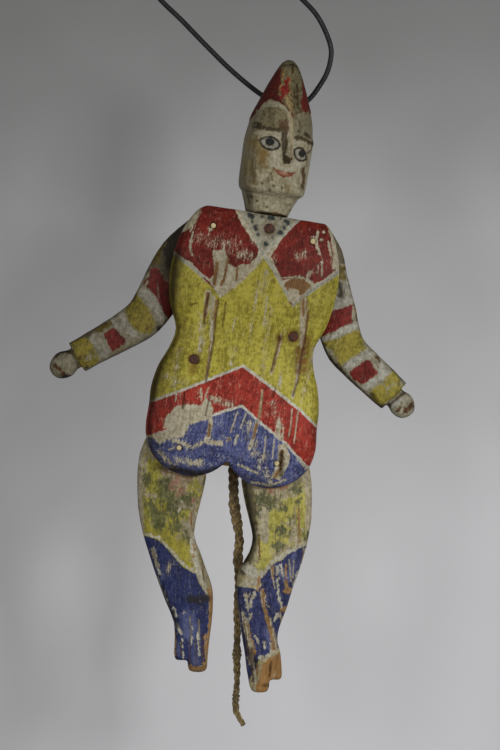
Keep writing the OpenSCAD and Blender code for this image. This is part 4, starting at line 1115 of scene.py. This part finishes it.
def leg_coats(yellow, green, pink, blue, pale_blue):
    """A leg's coats. Each colour given is its light and its dark tone."""
    return [
        ("yellow", *yellow, 8.0, 0.55, 1.8),
        ("green", *green, 8.5, 0.65, 2.2),
        ("pink", *pink, 8.0, 0.8, 1.8),
        ("shade", (92, 86, 60), (64, 56, 36), 2.4, 0.5, 1.4),
        ("blue", *blue, 0.6, 0.5, 0.25),
        ("pale_blue", *pale_blue, 4.0, 0.35, 2.2),
        ("white", (176, 172, 154), (128, 122, 102), 2.6, 0.8, 0.35),
        ("tan", (154, 122, 82), (112, 84, 50), 2.0, 0.7, 0.35),
        ("dark", (38, 38, 40), (26, 26, 30), 1.6, 0.5, 1.2),
    ]


def blotches(at, places, base):
    """The legs' dabbed paint: wide, soft-edged marks."""
    return marks(at, [
        (BLOTCH_SPREAD * radius, strength + BLOTCH_BOOST, *line)
        for radius, strength, *line in places], base)


def leg_fields(own, facing, yellow, green, pink, pale_blue, stocking, lines, wear, bare,
               scratches, cracks, grime_and_shade):
    at = own[:, [0, 2]]
    back = turned_back(facing)
    side = turned_aside(facing, 1.8)
    blue = within(at, stocking)
    return {
        "yellow": blotches(at, yellow, -1.5),
        "green": blotches(at, green, -2.6),
        "pink": blotches(at, pink, -3.2),
        "blue": blue,
        "pale_blue": np.minimum(marks(at, pale_blue, -4.0), blue),
        **{coat: drawn(at, [(LEG_BRUSH * half_width, *line) for half_width, *line in brush_strokes])
           for coat, brush_strokes in lines.items()},
        "wear": marks(at, wear) + 0.2 * side + 0.25 * back,
        "bare": marks(at, bare) + 0.3 * back,
        "scratch": strokes(at, 0.45, scratches),
        "crack": strokes(at, 0.3, cracks),
        "stain": 0,
        "grime_and_shade": marks(at, grime_and_shade, 0.05) + 0.3 * side,
        "painted_shade": 0,
    }


# Most of the right leg's tones are the left leg's made darker: painted shade on the leg away from the key
# lamp.
right_leg_paint = painted("right_leg_paint", ((152, 142, 118), (108, 98, 74)), leg_coats(
    yellow=((150, 140, 50), (110, 104, 38)), green=((92, 92, 54), (58, 60, 32)),
    pink=((140, 104, 84), (100, 76, 58)), blue=((44, 51, 90), (24, 29, 58)),
    pale_blue=((86, 92, 124), (58, 64, 100))), seed=17.1)
left_leg_paint = painted("left_leg_paint", ((170, 160, 132), (124, 112, 86)), leg_coats(
    yellow=((176, 168, 84), (130, 124, 52)), green=((102, 102, 68), (66, 68, 46)),
    pink=((150, 104, 84), (118, 82, 64)), blue=((53, 58, 97), (29, 33, 60)),
    pale_blue=((96, 100, 134), (66, 70, 104))), seed=21.9, wood=((154, 116, 70), (104, 74, 40)))
carved("right_leg_carving", "right_leg", "right_leg", RIGHT_LEG, voxel=0.55, rounding=12,
       relief=whittled(spacing=6.5, depth=0.25, seed=41), material=right_leg_paint,
       fields=partial(leg_fields, **RIGHT_LEG_PAINT))
carved("left_leg_carving", "left_leg", "left_leg", LEFT_LEG, voxel=0.55, rounding=12,
       relief=whittled(spacing=6.5, depth=0.25, seed=43), material=left_leg_paint,
       fields=partial(leg_fields, **LEFT_LEG_PAINT))

# ------------------------------------------------------------------ board, pegs and iron

BOARD_HOLES = [
    [(3, -68)], [(-27, -146)], [(25.5, -125)], [(-28, -71)], [(28, -71)], [(-27.5, -196)],
    [(27.5, -196)]]


def board_fields(own, facing):
    return {"edge": turned_aside(facing, 2), "holes": strokes(own[:, [0, 2]], 3.4, BOARD_HOLES)}


def board_wood(name, light, dark, seed):
    """Old bare wood with grey bloom, saw lines, rings and dirt round its holes."""
    shader = Shader(name, seed)
    place = shader.place
    colour, fibre = wood_tones(shader, light, dark)
    bloom = shader.step(shader.noise(place((1, 1, 0.3)), 0.07, 3.0), 0.42, 0.66)
    saw = shader.noise(place((0.06, 1, 1)), 0.9, 2.0)
    rings = shader.noise(place((0.22, 1, 0.012)), 1.4, 2.0)
    darkening = shader.math(
        "MAXIMUM", shader.step(shader.field("holes"), -2.5, 1.5), shader.field("edge"))
    for share, strength, tint in [
            (bloom, 0.5, (148, 136, 116)), (shader.step(saw, 0.55, 0.75), 0.25, (92, 70, 48)),
            (shader.step(rings, 0.52, 0.6), 0.35, (104, 74, 46)), (darkening, 0.6, (74, 58, 42))]:
        colour = shader.mix(shader.times(share, strength), colour, tint)
    height = shader.add(shader.times(fibre, 0.3), shader.times(saw, 0.15))
    return shader.finish(colour, roughness=0.78, height=height, relief=0.8)


def small_wood(name, light, dark, seed):
    """End grain and whittled sides of pegs and spacers."""
    shader = Shader(name, seed)
    fibre = shader.noise(shader.place((1, 0.12, 1)), 2.2, 4.0, 0.6)
    blot = shader.noise(shader.place(), 0.7, 2.0)
    colour = shader.mix(shader.step(fibre, 0.35, 0.7), dark, light)
    colour = shader.mix(shader.times(shader.step(blot, 0.5, 0.7), 0.5), colour, (110, 92, 62))
    return shader.finish(colour, roughness=0.7, height=shader.times(fibre, 0.25), relief=0.7)


def iron(name, bright, dark, rust, rusty, seed):
    """Pitted iron. rusty moves the share of it that has rusted."""
    shader = Shader(name, seed)
    pits = shader.noise(shader.place(), 1.5, 5.0, 0.65)
    blotch = shader.noise(shader.place(), 0.45, 3.0)
    colour = shader.mix(shader.step(pits, 0.38, 0.62), dark, bright)
    share = shader.step(shader.add(blotch, rusty), 0.48, 0.62)
    colour = shader.mix(share, colour, rust)
    roughness = shader.add(0.45, shader.times(share, 0.35))
    height = shader.times(pits, 0.4)
    return shader.finish(colour, roughness, height, relief=0.8, metal=0.3)


carved("back_board_wood", "back_board", "torso", BODY, voxel=0.9, rounding=8,
       relief=whittled(spacing=14, depth=0.25, seed=51),
       material=board_wood("board_wood", (168, 134, 94), (116, 86, 58), seed=27.7),
       fields=board_fields)
peg_wood = small_wood("peg_wood", (206, 196, 154), (168, 150, 104), seed=31.3)
spacer_wood = small_wood("spacer_wood", (160, 124, 82), (110, 80, 50), seed=33.9)
nail_iron = iron(
    "nail_iron", (72, 42, 30), (38, 27, 21), rust=(88, 48, 28), rusty=0.0, seed=41.1)
eye_iron = iron(
    "eye_iron", (84, 82, 78), (44, 43, 42), rust=(92, 60, 40), rusty=-0.1, seed=43.3)
# Small pieces: their nodes and the first one's seed, the ending of their names, the skin's
# voxel and rounding, the knife marks' spacing and depth, the material and the slot.
for nodes, first_seed, ending, voxel, rounding, spacing, depth, material, slot in [
        (["shoulder_peg_right", "shoulder_peg_left", "hip_peg_right", "hip_peg_left"], 61,
         "_wood", 0.25, 5, 1.6, 0.12, peg_wood, "bare_wood"),
        (["belly_spacer_right", "belly_spacer_left"], 65,
         "_wood", 0.5, 3, 4, 0.25, spacer_wood, "bare_wood"),
        (["neck_nail", "belly_nail_right", "belly_nail_left"], 71,
         "_iron", 0.25, 5, 2.6, 0.3, nail_iron, "rusty_iron"),
        (["screw_eye"], 75, "_iron", 0.2, 3, 2.0, 0.06, eye_iron, "iron")]:
    for seed, node in enumerate(nodes, first_seed):
        carved(node + ending, node, "torso", BODY, voxel, rounding,
               whittled(spacing, depth, seed), material)

# ------------------------------------------------------------------ cords and strings


def smooth_line(points, spans):
    """A Catmull-Rom curve through the points, as the solids' cords have."""
    points = np.array(points, float)
    ends = np.vstack([points[:1], points, points[-1:]])
    line = []
    for a, b, c, d in zip(ends, ends[1:], ends[2:], ends[3:]):
        for t in np.arange(spans) / spans:
            line.append(0.5 * (2 * b + (c - a) * t + (2 * a - 5 * b + 4 * c - d) * t * t
                               + (3 * b - a - 3 * c + d) * t ** 3))
    return np.array(line + [points[-1]])


def even_line(line, step):
    """The same line with its points a step apart, and each one's distance along it."""
    length = np.append(0, np.cumsum(np.linalg.norm(np.diff(line, axis=0), axis=1)))
    at = np.linspace(0, length[-1], max(4, round(length[-1] / step)))
    return np.stack([np.interp(at, length, line[:, k]) for k in range(3)], 1), at


def carried_frames(line):
    """Two directions square to the line at each point, carried along without twisting."""
    ahead = np.gradient(line, axis=0)
    ahead /= np.linalg.norm(ahead, axis=1)[:, None]
    start = np.array([0, 1, 0]) if abs(ahead[0][1]) < 0.9 else np.array([1, 0, 0])
    first = [start - ahead[0] * (start @ ahead[0])]
    for direction in ahead[1:]:
        carried = first[-1] - direction * (first[-1] @ direction)
        first.append(carried / np.linalg.norm(carried))
    first = np.array(first)
    return first, np.cross(ahead, first)


def round_turn(sides):
    return np.arange(sides) * 2 * math.pi / sides


def tube(line, radius, sides):
    """Points and faces of a tube. radius is one number, one for each point, or a full table."""
    up, aside = carried_frames(line)
    angle = round_turn(sides)[:, None]
    table = np.broadcast_to(
        np.reshape(radius, (-1, 1)) if np.ndim(radius) < 2 else radius, (len(line), sides))
    rings = line[:, None] + table[..., None] * (
        up[:, None] * np.cos(angle) + aside[:, None] * np.sin(angle))
    points = np.vstack([rings.reshape(-1, 3), line[:1], line[-1:]])
    first, last = len(points) - 2, len(points) - 1
    end = (len(line) - 1) * sides
    faces = []
    for k, after in zip(range(sides), [*range(1, sides), 0]):
        faces += [
            (start + k, start + after, start + sides + after, start + sides + k)
            for start in range(0, end, sides)]
        faces += [(first, after, k), (last, end + k, end + after)]
    return points, faces


def tubes(name, parts):
    """One mesh object from several tubes."""
    points = np.vstack([part_points for part_points, _ in parts])
    starts = np.cumsum([0] + [len(part_points) for part_points, _ in parts])
    faces = [
        tuple(start + index for index in face)
        for start, (_, part_faces) in zip(starts.tolist(), parts) for face in part_faces]
    mesh = bpy.data.meshes.new(name)
    mesh.from_pydata((points * MM).tolist(), [], faces)
    mesh.validate()
    mesh.shade_smooth()
    obj = new_object(name, mesh)
    keep_places(obj, points)
    return obj


def twisted(line, at, count, reach, pitch, radius):
    """Strands that wind round a line."""
    up, aside = carried_frames(line)
    turns = [2 * math.pi * (at / pitch + index / count) for index in range(count)]
    return [
        tube(line + reach * (aside * np.cos(turn)[:, None] + up * np.sin(turn)[:, None]), radius, 6)
        for turn in turns]


def plaited(line, at, count, width, pitch):
    """Strands that weave over and under each other along a line, in a plait of some width."""
    up, aside = carried_frames(line)
    turns = [2 * math.pi * (at / pitch + index / count) for index in range(count)]
    reach = PLAIT_REACH * width
    return [
        tube(line + aside * (np.sin(turn) * reach)[:, None]
             + up * (PLAIT_DEPTH * np.sin(2 * turn) * reach)[:, None], PLAIT_STRAND * width, 8)
        for turn in turns]


def wound_knot(middle, radius, height, turns, strand, seed):
    """A knot as a strand wound round in a barrel, slightly askew."""
    angle = np.linspace(0, turns * 2 * math.pi, int(turns * 18))
    share = angle / angle[-1]
    wobble = 1 + 0.08 * np.sin(angle * 1.7 + np.random.default_rng(seed).random() * 6)
    reach = (radius - strand) * (0.45 + 0.55 * np.sin(math.pi * share)) * wobble
    rise = (share - 0.5) * (height - 2 * strand) + 0.25 * reach * np.cos(angle + 0.7)
    line = np.stack([reach * np.cos(angle), reach * np.sin(angle), rise], 1)
    return tube(line + middle, strand, 8)


def fibre_material(name, light, dark, grime_and_shade, seed, scale):
    """Twisted plant fibre: fine streaks, darker hollows and dirty lengths."""
    shader = Shader(name, seed)
    streak = shader.noise(shader.place((1, 1, 0.5)), scale, 4.0, 0.7)
    length = shader.noise(shader.place((0.2, 0.2, 1)), 0.06, 2.0)
    colour = shader.mix(shader.step(streak, 0.36, 0.64), dark, light)
    darkening = shader.times(shader.step(length, 0.4, 0.62), 0.7)
    colour = shader.mix(darkening, colour, grime_and_shade, "MULTIPLY")
    height = shader.times(streak, 0.35)
    return shader.finish(colour, roughness=0.85, height=height, relief=0.9, sheen=0.2)


def waxed_cord(name, seed):
    """Black braided cord with a little dust in it."""
    shader = Shader(name, seed)
    yarn = shader.noise(shader.place(), 2.4, 3.0, 0.6)
    dust = shader.noise(shader.place(), 0.3, 3.0)
    colour = shader.mix(shader.step(yarn, 0.35, 0.65), (12, 12, 13), (24, 24, 25))
    colour = shader.mix(shader.times(shader.step(dust, 0.5, 0.75), 0.35), colour, (46, 46, 46))
    height = shader.times(yarn, 0.2)
    return shader.finish(colour, roughness=0.4, height=height, relief=0.6, shine=0.25)


def tie_material(name, seed):
    """The string's fibre for the CAD ties, which hold no places of their own."""
    shader = Shader(name, seed)
    place = shader.node("TexCoord", "Object")
    yarn = shader.noise(shader.moved(place, (1 / MM, 1 / MM, 1 / MM)), 1.8, 3.0, 0.6)
    colour = shader.mix(shader.step(yarn, 0.35, 0.65), (120, 102, 76), (176, 156, 122))
    return shader.finish(colour, roughness=0.85, height=shader.times(yarn, 0.3), relief=0.8)


def ends_of(node):
    """The two ends of a straight CAD tube."""
    places = read(frame["nodes"][node].data.vertices, "co") / MM
    middle = places.mean(0)
    along = np.linalg.svd(places - middle, full_matrices=False)[2][0]
    share = (places - middle) @ along
    return [places[np.abs(share - end) < 0.5].mean(0) for end in (share.min(), share.max())]


string_fibre = fibre_material(
    "string_fibre", (138, 122, 92), (90, 76, 54), grime_and_shade=(150, 130, 100), seed=5.5, scale=2.2)
hemp_fibre = fibre_material(
    "hemp_fibre", (148, 127, 81), (79, 66, 39), grime_and_shade=(116, 104, 84), seed=6.1, scale=0.9)
black_cord = waxed_cord("black_cord", seed=9.3)
tie_fibre = tie_material("tie_fibre", seed=8.8)

# The black cord, (across, height) from the eye: down from its knot, through the eye, and up.
HANGING_ROUTE = [
    (-26, 112), (-40, 113.5), (-58, 108), (-72, 98), (-79, 85), (-77, 72), (-68, 61.2),
    (-57, 50.6), (-45, 38.2), (-31, 24.2), (-19.4, 14.1), (-9.8, 7), (0, 1.2), (8, 1.6),
    (15, 6.2), (20.3, 13), (24.6, 20.4), (26.8, 28), (27, 35), (24, 44), (18.8, 53.5), (11, 62),
    (0, 72), (-9, 83), (-15, 94), (-20, 104), (-23, 110)]
HANGING_D = 3.2
WEAVE_SIDES = 16
hanging_line, hanging_at = even_line(
    smooth_line([(x, 0, z) for x, z in HANGING_ROUTE], spans=8), step=0.5)
weave_turn = round_turn(WEAVE_SIDES)[None]
weave = 1
for way in (1.5, -1.5):
    weave = weave * np.cos(4 * weave_turn + hanging_at[:, None] * way)
weave_relief = 0.07 * weave + 0.1 * np.cos(2 * weave_turn) - 0.1
hanging_cord = tubes("hanging_cord_weave", [
    tube(hanging_line, HANGING_D / 2 + weave_relief, WEAVE_SIDES)])
knot_middle = (hanging_line[0] + hanging_line[-1]) / 2
CORD_TAILS = [
    [(-1, 0.6, 0), (-4.5, 2.5, 2), (-9.5, 3, 1)], [(1, -0.6, 0), (4.5, -2, 2), (9.5, -2.5, 0)]]
hanging_knot = tubes("hanging_knot_weave", [
    wound_knot(knot_middle, radius=4.2, height=9.5, turns=2.6, strand=1.45, seed=81),
    *[tube(knot_middle + smooth_line(tail, spans=6), radius=1.4, sides=10) for tail in CORD_TAILS]])
stood_in(hanging_cord, "hanging_cord", "torso", black_cord)
stood_in(hanging_knot, "hanging_knot", "torso", black_cord)

# The pull cord, (across, height) from where the strings meet: a plait, then a thin tail.
PULL_ROUTE = [
    (0, 0), (-2.2, -12), (-2.4, -21), (-2, -30), (-0.4, -40), (0.8, -49), (0, -58), (0.5, -68),
    (0.1, -82), (-0.2, -96), (-0.5, -108), (-0.6, -118), (-0.5, -128), (-1.2, -138), (-1, -145),
    (1.4, -150), (3.2, -153)]
PLAIT_TOP = 6.6            # the plait's width there
PLAIT_FOOT = 3.2
PLAIT_REACH = 0.27         # these three are shares of its width
PLAIT_STRAND = 0.25
PLAIT_DEPTH = 0.55         # a share of its reach
junction = sum(corners("junction_knot")) / 2
pull_line, pull_at = even_line(
    smooth_line([junction + (x, 0, z) for x, z in PULL_ROUTE], spans=8), step=0.5)
plait_width = PLAIT_TOP + (PLAIT_FOOT - PLAIT_TOP) * pull_at / pull_at[-1]
plait_width *= 1 + 0.1 * np.sin(pull_at * 0.23) + 0.06 * np.sin(pull_at * 0.61 + 2)
pull_cord = tubes("pull_cord_plait", plaited(
    pull_line, pull_at, count=3, width=plait_width, pitch=14.0))
pull_knots = tubes("pull_knots_wound", [
    wound_knot(junction + (-0.6, 0, -113), radius=3.0, height=8.5, turns=3.0, strand=1.1, seed=83),
    wound_knot(junction + (-1.1, 0, -137), radius=2.3, height=10, turns=4.0, strand=0.8, seed=84)])
stood_in(pull_cord, "pull_cord", "pull", hemp_fibre)
stood_in(pull_knots, "pull_knots", "pull", hemp_fibre)

junction_knot = tubes("junction_knot_wound", [
    wound_knot(junction, radius=3.0, height=6.5, turns=3.2, strand=0.9, seed=85)])
stood_in(junction_knot, "junction_knot", "pull", string_fibre)
for node in ["arm_string_right", "arm_string_left", "leg_string_right", "leg_string_left"]:
    string_line, string_at = even_line(np.array(ends_of(node)), step=0.6)
    string = tubes(node + "_twist", twisted(
        string_line, string_at, count=2, reach=0.38, pitch=3.4, radius=0.42))
    stood_in(string, node, "pull", string_fibre)
for node in ["right_arm_tie", "left_arm_tie", "right_leg_tie", "left_leg_tie"]:
    frame["nodes"][node].data.materials.clear()
    frame["nodes"][node].data.materials.append(tie_fibre)

# ------------------------------------------------------------------ stage and light

WALL_GAP_M = 0.12          # behind the eye
WALL_TOP_M = 1.1
WALL_HALF_M = 2.2
FLOOR_M = -0.52            # its height
FLOOR_HALF_M = 3
WALL_GLOW = 0.35           # how much of the wall's tone glows, so that the lamps' shadows don't reach it
GLOW_MIDDLE_M = (0.05, -0.27)      # of the painted pool of light on the wall, across and height
GLOW_REACH_M = 0.4
GLOW_SQUEEZE = 0.8         # makes it wider than tall
CHEST_M = (-0.02, -0.02, -0.14)
LAMP_SIZE_M = 0.3
PALE_LIGHT = 0.3           # strength of the light all round


def plane(name, corners_m):
    mesh = bpy.data.meshes.new(name)
    mesh.from_pydata(corners_m, [], [tuple(range(len(corners_m)))])
    return new_object(name, mesh)


def wall_material():
    """A pale wall, brightest behind the legs in a painted pool of light, not there from behind."""
    shader = Shader("wall")
    at = shader.node("TexCoord", "Object")
    middle_x, middle_z = GLOW_MIDDLE_M
    aside = shader.times(
        shader.add(shader.node("SeparateXYZ", "X", {0: at}), -middle_x), GLOW_SQUEEZE)
    above = shader.math(
        "MAXIMUM", shader.add(shader.node("SeparateXYZ", "Z", {0: at}), -middle_z), 0.0)
    reach = shader.math(
        "SQRT", shader.add(shader.times(aside, aside), shader.times(above, above)))
    cloud = shader.swing(shader.noise(at, 8.0, 2.0), 0.05)
    share = shader.step(shader.add(reach, cloud), GLOW_REACH_M, 0.0)
    # Painted pool of light: the wall's tone brightest behind the legs.
    colour = shader.mix(share, (116, 116, 115), (198, 198, 200))
    # A share of the wall glows for the camera: painted light.
    glow = shader.times(shader.node("LightPath", "Is Camera Ray"), WALL_GLOW)
    lit = shader.node("MixShader", "Shader", {
        0: glow, 1: shader.node("BsdfDiffuse", "BSDF", {"Color": colour}),
        2: shader.node("Emission", "Emission", {"Color": colour})})
    return shader.show(shader.node("MixShader", "Shader", {
        0: shader.node("NewGeometry", "Backfacing"), 1: lit,
        2: shader.node("BsdfTransparent", "BSDF")}))


wall = plane("wall", [
    (-WALL_HALF_M, WALL_GAP_M, FLOOR_M), (WALL_HALF_M, WALL_GAP_M, FLOOR_M),
    (WALL_HALF_M, WALL_GAP_M, WALL_TOP_M), (-WALL_HALF_M, WALL_GAP_M, WALL_TOP_M)])
floor = plane("floor", [
    (FLOOR_HALF_M * x, FLOOR_HALF_M * y, FLOOR_M) for x, y in [(-1, -1), (1, -1), (1, 1), (-1, 1)]])
wall.data.materials.append(wall_material())
floor.data.materials.append(Shader("floor").finish((196, 196, 198), roughness=0.9))


def lamp(name, place_m, watts):
    """A soft square lamp that looks at the figure's chest."""
    obj = new_object(name, bpy.data.lights.new(name, "AREA"))
    obj.data.size = LAMP_SIZE_M
    obj.data.energy = watts
    obj.location = place_m
    aim = Vector(CHEST_M) - obj.location
    obj.rotation_euler = aim.to_track_quat("-Z", "Y").to_euler()
    return obj


lamp("key", (0.85, -1.25, 0.1), watts=12.5)
lamp("fill", (-0.85, -1.25, 0.1), watts=5)
# Lights the back, through the wall and without glints on the cords' rims.
rear = lamp("rear", (-0.02, 1.6, -0.1), watts=15)
rear.data.use_shadow = False
rear.visible_glossy = False

# Plain pale light all round. Its strength as the camera sees it is that of a pale wall.
world = bpy.data.worlds.new("studio")
scene.world = world
world.use_nodes = True
nodes = world.node_tree.nodes
link = world.node_tree.links.new
ambient = nodes["Background"]
ambient.inputs["Color"].default_value = (1, 1, 1, 1)
ambient.inputs["Strength"].default_value = PALE_LIGHT
seen = nodes.new("ShaderNodeBackground")
seen.inputs["Color"].default_value = shown((186, 186, 188))
pick = nodes.new("ShaderNodeMixShader")
link(nodes.new("ShaderNodeLightPath").outputs["Is Camera Ray"], pick.inputs[0])
link(ambient.outputs[0], pick.inputs[1])
link(seen.outputs[0], pick.inputs[2])
link(pick.outputs[0], nodes["World Output"].inputs[0])

scene.view_settings.view_transform = "Standard"
